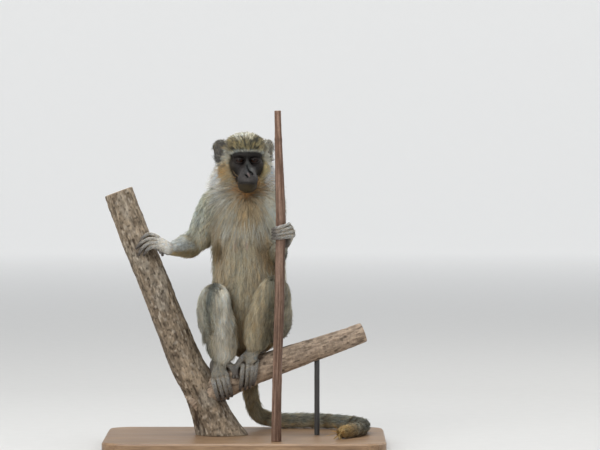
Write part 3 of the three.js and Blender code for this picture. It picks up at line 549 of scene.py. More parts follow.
def refine(me, wanted):
    """Splits the edges whose wanted length (a function of points in mm) is well under their own."""
    bm = bmesh.new()
    bm.from_mesh(me)
    bm.edges.ensure_lookup_table()
    mid = np.array([(e.verts[0].co + e.verts[1].co) * 0.5 for e in bm.edges])
    length = np.array([e.calc_length() for e in bm.edges])
    pick = length > wanted(mid) * 1.35
    edges = [bm.edges[i] for i in np.flatnonzero(pick)]
    bmesh.ops.subdivide_edges(bm, edges=edges, cuts=1, use_grid_fill=False)
    bmesh.ops.triangulate(bm, faces=[f for f in bm.faces if len(f.verts) > 3])
    bm.to_mesh(me)
    bm.free()
    return int(pick.sum())


def to_head(P):
    return (P - HEAD_AT) @ HEAD_R


def from_head(Q):
    return Q @ HEAD_R.T + HEAD_AT


FACE_Z = [-47.5, -46, -42.3, -36.8, -29.5, -22, -15.8, -6.6, 0, 3, 7, 10.5, 12.8]
FACE_W = [5, 9, 12.3, 15.2, 17.2, 20.6, 23.6, 26.0, 26.2, 25.6, 23.8, 20.9, 16.5]


def face_edge(Q):
    """Signed distance, in mm, to the edge of the bare face in the head's frame, negative inside it."""
    w = np.interp(Q[:, 2], FACE_Z, FACE_W)
    d = np.abs(Q[:, 0] - 0.6 * np.exp(-(((Q[:, 2] + 21) / 9) ** 2))) - w
    d = smax(d, Q[:, 2] - (13.4 - 0.006 * Q[:, 0] ** 2), 2)
    d = smax(d, Q[:, 1] - 9 + 0.0 * Q[:, 0], 3)
    return np.maximum(d, -46.5 - Q[:, 2])


def wanted_skin(P):
    Q = to_head(P)
    e = np.abs(Q[:, 0:1]) * [1, 0, 0] + Q * [0, 1, 1]
    eye = np.linalg.norm(e - np.array([EYE_HALF_GAP, -5, 0]), axis=1)
    ear = np.linalg.norm(e - EAR_AT.mean(0), axis=1)
    nose = np.linalg.norm(Q - np.array([0, -36, -15]), axis=1)
    mouth = np.abs(Q[:, 2] + 29) + np.maximum(Q[:, 1] + 10, 0) * 2 + np.maximum(np.abs(Q[:, 0]) - 15, 0) * 2
    w = np.full(len(P), 9.0)
    w = np.where(face_edge(Q) < 3, 1.15, w)
    w = np.where(ear < 22, 1.1, w)
    w = np.where((eye < 11) | (nose < 9) | (mouth < 3.5), 0.6, w)
    w = np.where(eye < 8.6, 0.36, w)
    return w


def relax(V, T, amount, times=1):
    """Evens out the triangles: each vertex moves towards the middle of its neighbours."""
    E = np.vstack([T[:, [0, 1]], T[:, [1, 2]], T[:, [2, 0]]])
    n = len(V)
    count = np.bincount(E[:, 0], minlength=n) + np.bincount(E[:, 1], minlength=n)
    for _ in range(times):
        mean = np.stack([(np.bincount(E[:, 0], V[E[:, 1], i], n) + np.bincount(E[:, 1], V[E[:, 0], i], n)) for i in range(3)], 1) / np.maximum(count, 1)[:, None]
        V = V + (mean - V) * amount
    return V


V, T = skin_surface()
print("skin meshed", len(V), len(T), round(time.time() - T0, 1))
skin_mesh = mesh_of("skin", V, T)
V = coords(skin_mesh)
Q = to_head(V)
hands = np.zeros(len(V), bool)
for p in PARTS:
    if p.name.startswith(("finger", "palm", "toe", "sole")):
        lo, hi = p.C.min(0) - 7, p.C.max(0) + 7
        hands |= np.all((V > lo) & (V < hi), axis=1)
face = face_edge(Q) < 4
ears = np.linalg.norm(np.abs(Q[:, :1]) * [1, 0, 0] + Q * [0, 1, 1] - EAR_AT.mean(0), axis=1) < 23
keep = np.where(hands | face | ears, 1.0, np.where(np.linalg.norm(Q, axis=1) < 75, 0.5, 0.0))
skin_mesh = thin(skin_mesh, 0.42, keep)
print("skin thinned", len(skin_mesh.vertices), round(time.time() - T0, 1))
for _ in range(3):
    if not refine(skin_mesh, wanted_skin):
        break
    V = relax(coords(skin_mesh), triangles(skin_mesh), 0.5, 2)
    V = settle(V, 0.0, 2, 1.2)
    skin_mesh.vertices.foreach_set("co", V.astype(np.float32).ravel())
T = triangles(skin_mesh)
V = settle(relax(V, T, 0.5, 2), 0.0, 2, 0.8)
V = settle(relax(V, T, 0.35, 1), 0.0, 2, 0.5)
_, skin_normal = gradient(V)
skin_normal = unit(skin_normal)
print("skin refined", len(V), len(T), round(time.time() - T0, 1))

# ------------------------------------------------------------------ markings, flow and length of the coat
def rgb(*v):
    return np.array(v, float)


def mix(a, b, t):
    t = np.asarray(t, float)[..., None]
    return a * (1 - t) + b * t


def hump(x, mid, half):
    return np.exp(-(((x - mid) / half) ** 2))


OLIVE = rgb(0.255, 0.212, 0.122)
OLIVE_DARK = rgb(0.175, 0.147, 0.082)
FLANK = rgb(0.33, 0.305, 0.215)
GREY = rgb(0.30, 0.295, 0.24)
STEEL = rgb(0.15, 0.16, 0.135)
CREAM = rgb(0.56, 0.53, 0.45)
WHITE = rgb(0.72, 0.71, 0.66)
BUFF = rgb(0.37, 0.32, 0.225)
WARM = rgb(0.29, 0.205, 0.118)
GOLD = rgb(0.34, 0.222, 0.088)
ORANGE = rgb(0.235, 0.125, 0.052)
BROWN = rgb(0.19, 0.13, 0.068)
UMBER = rgb(0.10, 0.062, 0.026)
BARE = rgb(0.030, 0.026, 0.024)
TAN = rgb(0.36, 0.262, 0.14)
ASH = rgb(0.30, 0.285, 0.215)
CHIN = rgb(5.0, -35.0, 402.0)


def rays(P):
    """Streaks that run out from the chin, a few mm wide and a few cm long, from -1 to 1."""
    X, Y, Z = (P - CHIN).T
    r = np.hypot(X, Z)
    a = np.arctan2(X, -Z)
    return fractal(np.stack([a / 0.052, r / 46, Y / 60], 1), (1, 1, 1), 301, 3)


def bib(P):
    """The pale front from the cheeks to the lower edge of the chest, as one field of colour."""
    X, Y, Z = P.T
    q = to_head(P)
    edge = face_edge(q)
    r = np.abs(X - 4.5)
    right = X > 4.5
    c = mix(rgb(0.31, 0.24, 0.145), rgb(0.33, 0.285, 0.205), step(r, 6, 24))
    # further out the chest is greyer on the right and brighter there, partly its own paler grey and partly painted
    # light against the shade on that side
    c = mix(c, mix(rgb(0.31, 0.285, 0.22), rgb(0.47, 0.48, 0.42), right * 1.0), step(r, 16, 32))
    c = mix(c, rgb(0.205, 0.195, 0.15), step(r, 42, 54) * step(-Z, -372, -352) * (1 - right * 0.7))
    # a paler, greyer lower edge, its last locks darker again
    c = mix(c, rgb(0.42, 0.40, 0.335), step(-Z, -342, -330) * 0.85)
    c = mix(c, rgb(0.20, 0.175, 0.12), step(-Z, -326, -315) * 0.85 * (1 - step(r, 24, 36)))
    # white at the sides of the neck, fading down over the shoulders, and up the cheeks outside the gold
    c = mix(c, WHITE * 1.1, step(r, 22, 40) * step(Z, 346, 400) * (0.55 + 0.45 * step(Z, 372, 396)))
    gold = np.where(right, 3.0, 12.0)
    on_cheek = step(Z, 388, 402)
    # on the right the white of the cheek is brighter, painted light against the shade on that side
    c = mix(c, mix(rgb(0.90, 0.90, 0.87), rgb(0.97, 0.97, 0.94), right * 1.0), on_cheek * step(edge, gold - 2, gold + 5) * step(r, 18, 26 - 3 * right))
    # the gold: pale beside the face, deeper in a patch under the right ear, a narrow line on the left; on the right it
    # is painted twice as bright and its brown edge fainter, a painted light against the shade on that side
    warm = mix(rgb(0.49, 0.41, 0.27), rgb(0.60, 0.37, 0.14), np.where(right, 0.75 * hump(edge, 3, 5) * hump(Z, 417, 17), 1.1 * hump(X, -30, 7) * hump(Z, 415, 11)).clip(0, 1))
    warm = mix(rgb(0.42, 0.31, 0.18), np.clip(warm * (1 + 1.0 * right)[:, None], 0, 0.95), step(Z, 390, 404))
    c = mix(c, warm, (1 - step(edge, gold - 4.5, gold + 4)) * step(Z, 380, 396))
    c = mix(c, rgb(0.40, 0.30, 0.17), (1 - step(edge, 0.5, 3.5)) * step(Z, 384, 396) * (0.6 - 0.4 * right))
    under = hump(X, 4.5, 14) * (1 - step(r * 0.3 + np.maximum(386 - Z, 0), 4, 22)) * step(-Z, -397, -387)
    c = mix(c, rgb(0.56, 0.29, 0.11), under)
    return c * (1 + 0.26 * rays(P))[:, None]


def torso_traits(part, P, N):
    X, Y, Z = P.T
    front = step(-N[:, 1], -0.1, 0.5)
    back = step(N[:, 1], -0.25, 0.45)
    # the lower edge of the bib hangs in points over the belly, longer in the middle
    hem = 319 + 7 * noise(P * [1, 0, 0], (8, 1, 1), 7) + 7 * noise(P * [1, 0, 0], (2.6, 1, 1), 17) - 5 * hump(X, -4, 13)
    hem = hem - 13 * step(X, 27, 35) - 9 * step(-X, 46, 56) + 9 * hump(X, -37, 8) + 7 * hump(X, 20, 6)
    chest = step(Z - hem, -4, 4)
    mid = hump(X, -5 + (Z - 240) * 0.02, 24)
    # lower down, between the thighs, the belly is browner and darker, partly its own colour and partly painted shade
    low = step(-Z, -232, -180)
    belly = mix(rgb(0.37, 0.30, 0.205), rgb(0.37, 0.325, 0.23), mid)
    belly = mix(belly, rgb(0.25, 0.158, 0.064), low * (1 - 0.35 * mid))
    # painted shadow: two dark brown patches on the belly just under the hem of the chest's hair, where its fringe casts
    # shade
    patch = np.clip(1.35 * hump(X, -38, 11) * hump(Z, 299, 19) + 0.6 * hump(X, 21, 8) * hump(Z, 299, 15), 0, 1)
    belly = mix(belly, rgb(0.115, 0.074, 0.030), patch)
    belly = belly * (1 + 0.42 * fractal(P, (2.8, 40, 50), 3, 3))[:, None]
    pink = np.clip(hump(X, -10.5, 3) * hump(Z, 307, 5) + hump(X, 2.4, 3) * hump(Z, 308, 5), 0, 1)
    belly = mix(belly, rgb(0.36, 0.235, 0.205), pink * 0.8)
    c_front = mix(belly, bib(P), chest)
    c_side = FLANK * (1 + 0.12 * fractal(P, (16, 16, 22), 8, 2))[:, None]
    c_back = mix(OLIVE, OLIVE_DARK, hump(X, 5, 20) * 0.6) * (1 + 0.14 * fractal(P, (13, 13, 18), 9, 2))[:, None]
    colour = mix(mix(c_side, c_front, front), c_back, back)
    radial = unit(P - CHIN + [0, 0, 2.0])
    high = step(Z, 300, 345)
    down = np.stack([np.clip((X - 5) / 300, -0.25, 0.25), np.zeros(len(P)), -np.ones(len(P))], 1)
    flow = unit(mix(down, radial + [0, 0, -0.15], high * (1 - back)))
    length = mixf(17.0, 26.0, step(Z, 316, 332) * front) * (1 - 0.12 * back)
    curtain = hump(X, -52, 12) * hump(Z, 318, 24) * (1 - back) * step(-N[:, 0], 0.1, 0.6)
    length = mixf(length, 29.0, curtain)
    flow = unit(mix(flow, rgb(-0.35, 0.1, -1.0) + 0 * P, curtain))
    colour = mix(colour, rgb(0.44, 0.42, 0.34) * (1 + 0.3 * fractal(P, (3, 3, 30), 18, 2))[:, None], curtain * 0.7)
    return dict(colour=colour, flow=flow, length=length, width=0.86 - 0.16 * front, lift=0.84 + 0.17 * chest * front - 0.03 * back + 0.85 * curtain,
                tick=0.05 + 0.7 * back + 0.15 * (1 - front), dense=mixf(0.42, 1.05, front), lock=mixf(0.3, 0.55, front))


def mixf(a, b, t):
    return a * (1 - t) + b * t


def neck_traits(part, P, N):
    X, Y, Z = P.T
    back = step(P[:, 1], 14, 40)
    colour = mix(bib(P), OLIVE * 1.05, back)
    side = step(np.abs(X - 4), 14, 34)
    radial = unit(P - CHIN + [0, 0, 2.0])
    out = np.stack([np.sign(X - 4) * 1.0, 0.1 + 0 * X, -0.45 + 0 * X], 1)
    flow = mix(radial + [0, 0, -0.1], out, side * 0.6 * (1 - back))
    flow = unit(mix(flow, rgb(0, 0.1, -1.0) + 0 * P, back))
    near = np.linalg.norm((P - CHIN) * [1, 0.6, 1], axis=1)
    length = mixf(12.0, 27.0, step(near, 10, 38)) * (1 - 0.3 * back)
    return dict(colour=colour, flow=flow, length=length, width=0.72 + 0 * X, lift=0.97 + 0 * X,
                tick=0.04 + 0.75 * back, dense=1.7 - 0.9 * back, lock=0.55 - 0.2 * back)


def head_traits(part, P, N):
    q = to_head(P)
    x, y, z = q.T
    s = np.where(x < 0, -1.0, 1.0)
    ax = np.abs(x)
    left = x > 0
    edge = face_edge(q)
    e = ear_local(np.stack([ax, y, z], 1), left)
    on_ear = step(-np.linalg.norm(e / [13.5, 6.5, 21], axis=1), -1.10, -0.98)
    crown = step(z, 4, 12)
    back = step(y, 26, 48)
    # the crown: fine black streaks fan up from the brow through dark olive and gold, pale at its rim, olive behind; the
    # pale rim is partly its pale hair tips and partly a painted highlight where the top catches the light from above
    r = np.hypot(x, z - 8)
    turn = np.arctan2(x, z - 5) + 0.05 * fractal(P, (6, 6, 6), 404, 2)
    fan = fractal(np.stack([turn / 0.05, r / 6.5, y / 16], 1), (1, 1, 1), 401, 3) + 0.7 * fractal(P, (2.0, 2.0, 3.6), 402, 2)
    # painted highlight in part: the top of the crown is pale cream
    top = step(z - 0.2 * x + 3.5 * fractal(P, (6, 6, 6), 403, 2), 24.0, 31.5)
    c_crown = mix(rgb(0.185, 0.148, 0.066), rgb(0.88, 0.84, 0.70), top)
    c_crown = mix(c_crown, rgb(0.29, 0.235, 0.13), step(ax, 12, 22) * (1 - top * 0.7) * 0.75)
    c_crown = mix(c_crown, rgb(0.022, 0.020, 0.011), step(fan, -0.17, 0.15) * (0.97 - 0.55 * top) * (1 - 0.3 * step(ax, 19, 26)))
    c_crown = mix(c_crown, OLIVE * 0.95, step(y, 24, 40))
    brow = (1 - step(edge, 1.4, 3.8)) * step(z, 3, 9)
    c_crown = mix(c_crown, rgb(0.27, 0.275, 0.24), brow * 0.9)
    temple = step(ax, 19.5, 25) * step(-np.abs(z - 7), -18, -10) * (1 - step(y, 20, 32)) * (1 - on_ear)
    grizzle = 1 + 0.4 * fractal(P, (2.6, 2.6, 2.6), 13, 2)
    c_crown = mix(c_crown, mix(rgb(0.42, 0.42, 0.37), rgb(0.24, 0.205, 0.125), step(z, 7, 16)) * grizzle[:, None], temple * 0.9)
    c_cheek = mix(bib(P), rgb(0.40, 0.385, 0.31) * grizzle[:, None], step(z, -10, -1) * 0.9)
    c_cheek = mix(c_cheek, OLIVE, back * step(z, -34, -20))
    c = mix(c_cheek, c_crown, crown)
    ear_back = step(e[:, 1], -0.6, 1.6)
    c_ear = mix(mix(rgb(0.15, 0.14, 0.125), rgb(0.52, 0.49, 0.42), left * 1.0), rgb(0.12, 0.11, 0.095), ear_back)
    c = mix(c, c_ear * (1 + 0.5 * fractal(P, (3, 3, 3), 14, 2))[:, None], on_ear)
    # flow in the head's own frame
    f_cheek = np.stack([s * 0.9, 0.40 + 0 * x, -0.42 + 0 * x], 1)
    f_crown = np.stack([s * 0.10 + x * 0.012, 0.85 + 0 * x, 0.55 - 0.03 * y], 1)
    f_temple = np.stack([s * 1.0, 0.45 + 0 * x, 0.05 + 0.02 * (z - 4)], 1)
    flow = mix(f_cheek, f_crown, step(z, 3, 17))
    flow = mix(flow, f_temple, temple * (1 - step(z, 10, 20)))
    flow = mix(flow, np.stack([x * 0.01, 0.55 + 0 * x, -1 + 0 * x], 1), back)
    below = step(-z, 34, 44) * (1 - step(ax, 12, 22))
    flow = mix(flow, np.stack([x * 0.03, 0.35 + 0 * x, -1 + 0 * x], 1), below)
    ear_out = np.stack([e[:, 0] * 0.6, np.zeros(len(P)), e[:, 2] * 0.5 + 8], 1)
    ear_out = np.where(left[:, None], ear_out @ EAR_R[1].T, ear_out @ EAR_R[0].T)
    ear_out[:, 0] *= s
    flow = unit(mix(flow, unit(ear_out), on_ear))
    close = step(edge, 0.5, 11)
    length = mixf(3.2, mixf(mixf(20.0, 25.0, step(-z, 20, 36)), 9.5, step(z, -4, 8)), close)
    length = mixf(length, mixf(11.0, 19.0, step(z, -2, 8)), temple * close)
    length = mixf(length, 12.0, back)
    length = mixf(length, 5.0, on_ear)
    width = mixf(mixf(0.40, 0.66, close), 0.38, on_ear)
    return dict(colour=c, flow=flow @ HEAD_R.T, length=length, width=width,
                lift=0.97 + 0.85 * temple * close * step(z, -4, 7) + 0.28 * step(ax, 10, 20) * step(z, 8, 16) * (1 - temple) - 0.12 * back,
                tick=0.9 * crown * (1 - on_ear) * (1 - 0.4 * temple) + 0.08 + 0.5 * on_ear + 0.6 * back * (1 - crown),
                dense=mixf(1.9, 0.7, back) + 0.6 * (1 - close) - 0.4 * on_ear, lock=mixf(0.45, 0.5, 1 - crown) * (1 - on_ear))


def arm_traits(part, P, N):
    x, a, b, z, T = part.local(P)
    t = np.clip(x / part.L[-1], 0, 1)
    X, Y, Z = P.T
    fore = part.name.startswith("forearm")
    left = part.name.endswith("left")
    under = step(-N[:, 2], 0.0, 0.7) if not left else step(N[:, 1] * 0.3 - N[:, 2], 0.1, 0.8)
    if fore:
        top = mix(rgb(0.42, 0.425, 0.375), rgb(0.62, 0.635, 0.61), step(t, 0.15, 0.7) * (0.75 if not left else 0.4))
        colour = mix(top, rgb(0.60, 0.48, 0.31) if not left else rgb(0.50, 0.47, 0.38), under)
    else:
        top = mix(rgb(0.29, 0.28, 0.205), rgb(0.46, 0.48, 0.425), step(t, 0.05, 0.5))
        colour = mix(top, rgb(0.43, 0.38, 0.275), under * 0.8)
    colour = colour * (1 + 0.5 * fractal(np.stack([x * 0.16, a, b], 1), (2.4, 2.4, 2.4), 21 + fore, 3))[:, None]
    # behind, the arms are olive-grey like the back
    colour = mix(colour, mix(OLIVE * 1.05, rgb(0.30, 0.295, 0.23), step(t, 0.2, 1.0) if fore else 0.3 * t), step(N[:, 1], -0.15, 0.55) * (0.9 - 0.3 * fore))
    if left:
        colour = mix(colour, rgb(0.37, 0.30, 0.19), step(-N[:, 0], -0.1, 0.6) * step(-Z, -325, -290) * 0.85)
    else:
        colour = mix(colour, rgb(0.47, 0.36, 0.19) * (1 + 0.25 * fractal(P, (3, 3, 3), 24, 2))[:, None], under * fore * 0.6)
    flow = unit(T + [0, 0, -0.28 if not fore else -0.1])
    length = mixf(15.0, 13.0, t) if not fore else mixf(13.0, 6.5, step(t, 0.3, 1))
    return dict(colour=colour, flow=flow, length=length, width=0.76 - 0.2 * fore * t, lift=0.88 + 0 * t,
                tick=0.6 - 0.35 * under, dense=0.85 + 0.35 * fore * t, lock=0.34 + 0 * t)


def leg_traits(part, P, N):
    x, a, b, z, T = part.local(P)
    t = np.clip(x / part.L[-1], 0, 1)
    X, Y, Z = P.T
    left = part.name.endswith("left")
    side = 1 if left else -1
    out = N[:, 0] * side
    rear = step(N[:, 1], 0.1, 0.7)
    # on each shank a steel-grey strip runs down its outer front, cream inside it and brown along the crease, that brown
    # partly its own and partly painted shade
    if left:
        mid = np.interp(Z, [160, 222, 262], [29, 39, 42])
        pale_at, inner_at = mid - 16, mid - 27
    else:
        mid = np.interp(Z, [147, 177, 207, 235, 252], [-52, -56, -52.5, -47.5, -45])
        pale_at, inner_at = mid + 20, mid + 38
    dark = hump(X, mid, 7.6) * (1 - rear)
    pale = hump(X, pale_at, 10 if not left else 7.5) * (1 - rear)
    inner = step((pale_at - X) * side, 8, 14) * (1 - rear) if left else step(X - pale_at, 11, 19) * (1 - rear)
    edge = step((X - mid) * side, 5, 11) * (1 - rear)
    shank = mix(rgb(0.40, 0.36, 0.275) if not left else rgb(0.30, 0.255, 0.175), rgb(0.60, 0.58, 0.50) if not left else rgb(0.40, 0.34, 0.23), pale)
    shank = mix(shank, rgb(0.17, 0.115, 0.055), inner * step(Z, 150, 175) * 0.85)
    shank = mix(shank, rgb(0.42, 0.42, 0.37) if not left else rgb(0.24, 0.215, 0.165), edge)
    shank = mix(shank, rgb(0.095, 0.104, 0.092) if not left else rgb(0.16, 0.145, 0.10), dark * 0.96)
    shank = mix(shank, GREY * 1.1, rear)
    if part.name.startswith("thigh"):
        colour = mix(rgb(0.42, 0.39, 0.30), rgb(0.36, 0.345, 0.27), step(out, -0.1, 0.5))
        colour = mix(colour, OLIVE * 1.1, step(out, 0.2, 0.8) * step(N[:, 2], -0.4, 0.5) * 0.5)
        fringe = step(out, 0.15, 0.7) * step(-np.abs(t - 0.5), -0.5, -0.2) * step(-N[:, 1], -0.75, -0.2)
        colour = mix(colour, rgb(0.72, 0.69, 0.60), fringe * (0.6 if not left else 0.25))
        colour = mix(colour, rgb(0.22, 0.175, 0.11), step(out, 0.1, 0.7) * (0.5 if left else 0.0))
        # the inner side of each thigh, facing the belly, is deep brown: partly its own brown and partly painted shade
        colour = mix(colour, rgb(0.12, 0.085, 0.042), step(-out, 0.1, 0.7) * step(t, 0.25, 0.6) * 0.85)
        knee = step(t, 0.70, 0.92)
        colour = mix(colour, shank, knee)
        length = mixf(17.0, 12.0, step(t, 0.5, 1)) + 12 * fringe
        lift = 0.88 + (0.9 if not left else 0.5) * fringe
        flow = unit(mix(T + [0, 0, -0.5], rgb(0, -0.4, -1.0) + 0 * P, step(t, 0.6, 0.85)) + np.array([side * 0.35, 0, -0.5]) * fringe[:, None])
    else:
        colour = shank
        # painted shade at the top of each knee, where it tucks under the belly, deepest on the left
        colour = mix(colour, rgb(0.19, 0.18, 0.14) if not left else rgb(0.1, 0.08, 0.05), (1 - step(t, 0.0, 0.1)) * 0.4)
        colour = mix(colour, GREY * 0.9, step(t, 0.85, 1.0) * 0.5)
        wisp = edge * step(out, 0.1, 0.6)
        length = mixf(17.0, 11.0, step(t, 0.6, 1)) + 7 * wisp
        lift = 0.9 + 0.75 * wisp
        flow = unit(mix(rgb(0, -0.4, -1.0) + 0 * P, T + [0, 0, -0.4], step(t, 0.0, 0.25)) + np.array([side * 0.3, 0, 0]) * wisp[:, None])
    colour = colour * (1 + 0.6 * fractal(P, (2.4, 7, 30), 31, 3))[:, None]
    return dict(colour=colour, flow=flow, length=length, width=0.70 - 0.08 * t, lift=lift,
                tick=0.1 + 0.3 * step(out, 0, 0.6), dense=mixf(1.0, 0.6, rear), lock=0.42 + 0 * t)


def tail_traits(part, P, N):
    x, a, b, z, T = part.local(P)
    t = np.clip((x + part.start) / part.whole, 0, 1)
    under = step(-N[:, 2], -0.1, 0.6)
    colour = mix(mix(OLIVE, GREY * 0.8, step(t, 0.1, 0.5)), BUFF * 1.15, under)
    colour = mix(colour, GOLD * 1.15, step(t, 0.86, 0.97))
    colour = colour * (1 + 0.12 * fractal(P, (9, 9, 9), 41, 2))[:, None]
    return dict(colour=colour, flow=T, length=12 + 3 * step(t, 0.9, 1), width=0.86 + 0 * t, lift=0.88 + 0 * t,
                tick=0.55 - 0.2 * under, dense=0.6 + 0 * t, lock=0.35 + 0 * t)


def grip_side(P):
    """Unit vectors from the perch outwards, at points near it."""
    best, out = np.full(len(P), 1e4), np.zeros_like(P)
    for k, loft in PERCH.items():
        j = ((P[:, None] - loft.C[None]) ** 2).sum(2).argmin(1)
        d = P - loft.C[j]
        d = d - (d * loft.T[j]).sum(1)[:, None] * loft.T[j]
        r = np.linalg.norm(d, axis=1) - loft.Z[j, 0]
        m = r < best
        best[m], out[m] = r[m], unit(d[m])
    return out, best


def hand_traits(part, P, N):
    x, a, b, z, T = part.local(P)
    t = np.clip(x / part.L[-1], 0, 1)
    out, _ = grip_side(P)
    dorsal = step((N * out).sum(1), 0.0, 0.45)
    palm = part.name.startswith(("palm", "sole"))
    foot = part.group.startswith("foot")
    right = part.name.endswith("right")
    if palm:
        colour = mix(rgb(0.76, 0.74, 0.68) if right else rgb(0.62, 0.58, 0.50), rgb(0.62, 0.59, 0.53), step(t, 0.5, 1.0))
        if foot:
            colour = mix(rgb(0.38, 0.35, 0.28), rgb(0.26, 0.24, 0.20), t)
        length, width, dense = mixf(6.0, 4.0, t), 0.5 + 0 * t, 1.6 * dorsal
    else:
        colour = mix(rgb(0.64, 0.61, 0.55), rgb(0.42, 0.39, 0.35), step(t, 0.1, 0.7)) * (0.6 if foot else 1.0)
        length, width = mixf(3.6, 2.4, t), 0.34 + 0 * t
        dense = 1.7 * dorsal * (1 - step(t, 0.55, 0.85))
    colour = colour * (1 + 0.14 * fractal(P, (4, 4, 4), 51, 2))[:, None]
    return dict(colour=colour, flow=T, length=length, width=width, lift=1.0 + 0 * t, tick=0.3 + 0 * t, dense=dense, lock=0.15 + 0 * t)


def traits_for(part):
    g = part.group
    if g.startswith("arm"):
        return arm_traits
    if g.startswith("leg"):
        return leg_traits
    if g.startswith(("hand", "foot")):
        return hand_traits
    return dict(torso=torso_traits, neck=neck_traits, head=head_traits, tail=tail_traits)[g]


PERCH = {
    "perch_trunk": Loft(TRUNK, side=(0, 1, 0), caps=(0.02, 0.02), name="trunk"),
    "perch_branch": Loft(BRANCH, side=(0, 1, 0), caps=(0.02, 0.02), name="branch"),
    "perch_stem": Loft(STEM, caps=(0.02, 0.02), name="stem"),
}
KEYS = dict(colour=3, flow=3, length=1, width=1, lift=1, tick=1, dense=1, lock=1)
HAIRLESS = 0.0


def traits(P, N):
    """Everything about the coat at points on the skin, blended where parts meet, and which part each point is on."""
    n = len(P)
    sums = {k: np.zeros((n, w)) for k, w in KEYS.items()}
    total = np.zeros(n)
    best, which = np.full(n, 1e3), np.zeros(n, int)
    U = np.zeros((n, 2))
    for i, part in enumerate(PARTS):
        m = np.flatnonzero(part.near(P))
        if not len(m):
            continue
        d = part.dist(P[m], np.zeros(len(m)))
        near = d < 9
        m, d = m[near], d[near]
        if not len(m):
            continue
        soft = 0.9 if part.group.startswith(("hand", "foot")) else 2.2
        w = np.exp(-np.maximum(d, 0) / soft) + 1e-9
        got = traits_for(part)(part, P[m], N[m])
        for k in KEYS:
            v = got[k]
            sums[k][m] += (v if v.ndim == 2 else v[:, None]) * w[:, None]
        total[m] += w
        better = d < best[m]
        j = m[better]
        best[j], which[j] = d[better], i
        u, v = part.uv(P[j])
        U[j] = np.stack([u, v], 1)
    out = {k: v / np.maximum(total, 1e-12)[:, None] for k, v in sums.items()}
    out = {k: (v if KEYS[k] == 3 else v[:, 0]) for k, v in out.items()}
    return out, which, U


def bare(P, N, which):
    """1 where the skin shows on the face, 0.5 on the inside of the ears."""
    q = to_head(P)
    head = np.array([PARTS[i].name == "head" for i in range(len(PARTS))])[which]
    face = step(-face_edge(q), -0.4, 0.6) * head
    e = ear_local(np.abs(q) * [1, 0, 0] + q * [0, 1, 1], q[:, 0] > 0)
    inner = step(-np.linalg.norm(e / [10.8, 9, 16], axis=1), -1.05, -0.9) * step(-e[:, 1], -0.5, 0.3) * head
    return np.maximum(face, inner * 0.5)


# ------------------------------------------------------------------ tufts
def patch_of(k, count):
    """Sub-rectangle k of count in the unit square."""
    cols = int(math.ceil(math.sqrt(count)))
    rows = int(math.ceil(count / cols))
    return np.array([(k % cols) / cols, (k // cols) / rows]), np.array([1 / cols, 1 / rows])


def tuft_mesh(name, root, mids, tip, width, normal, colours, uv):
    """One mesh of closed spindles: a point at the root, a ring of three at each mid, a point at the tip."""
    n, m = len(root), len(mids)
    per = 2 + 3 * m
    V = np.zeros((n, per, 3))
    NV = np.zeros((n, per, 3))
    C = np.zeros((n, per, 4))
    line = [root, *mids, tip]
    V[:, 0], V[:, -1] = root, tip
    NV[:, 0] = NV[:, -1] = normal
    C[:, 0, :3], C[:, -1, :3] = colours[0], colours[-1]
    share = [1.0, 0.72] if m == 2 else [1.0]
    for j, mid in enumerate(mids):
        t = unit(line[j + 2] - line[j])
        s = unit(np.cross(t, normal))
        d = np.cross(s, t)
        for i, ang in enumerate((math.pi / 2, math.pi * 7 / 6, math.pi * 11 / 6)):
            off = s * math.cos(ang) + d * (math.sin(ang) * 0.62)
            V[:, 1 + 3 * j + i] = mid + off * (width * 0.5 * share[j])[:, None]
            NV[:, 1 + 3 * j + i] = unit(normal * 0.75 + unit(off) * 0.62)
            C[:, 1 + 3 * j + i, :3] = colours[j + 1]
    C[:, :, 3] = 1
    F = []
    for i in range(3):
        k = (i + 1) % 3
        F.append([0, 1 + k, 1 + i])
        for j in range(m - 1):
            a, b, c, d = 1 + 3 * j + i, 1 + 3 * j + k, 4 + 3 * j + k, 4 + 3 * j + i
            F += [[a, b, c], [a, c, d]]
        F.append([per - 1, per - 4 + i, per - 4 + k])
    F = np.array(F)[:, ::-1]
    T = (np.arange(n)[:, None, None] * per + F[None]).reshape(-1, 3)
    me = mesh_of(name, V.reshape(-1, 3) * MM, T)
    layer = me.attributes.new("coat", "FLOAT_COLOR", "POINT")
    layer.data.foreach_set("color", np.clip(C, 0, 1).astype(np.float32).ravel())
    # each tuft's own patch, 0.003 across, at its root's place
    t = np.linspace(0, 1, per)
    pu = np.zeros((per, 2))
    pu[0], pu[-1] = (0, -0.0015), (0, 0.0015)
    for j in range(m):
        y = -0.0015 + 0.003 * (j + 1) / (m + 1)
        for i, xx in enumerate((0.0, -0.0013, 0.0013)):
            pu[1 + 3 * j + i] = (xx, y)
    UV = uv[:, None] + pu[None]
    lay = me.uv_layers.new(name="OFBake")
    lay.data.foreach_set("uv", np.clip(UV, 0.0005, 0.9995).reshape(-1, 2)[T.ravel()].astype(np.float32).ravel())
    me.normals_split_custom_set_from_vertices(unit(NV.reshape(-1, 3)).astype(np.float32))
    return me


face_cen = V[T].mean(1)
face_nor = np.cross(V[T[:, 1]] - V[T[:, 0]], V[T[:, 2]] - V[T[:, 0]])
if (face_nor * skin_normal[T[:, 0]]).sum() < 0:
    T = T[:, ::-1]
    face_nor = -face_nor
area = np.linalg.norm(face_nor, axis=1) * 0.5
face_nor = unit(face_nor)
tr, which_face, _ = traits(face_cen, face_nor)
hair = 1 - bare(face_cen, face_nor, which_face)
weight = area * np.clip(tr["dense"], 0, 3) * hair * (tr["dense"] > 0.12)
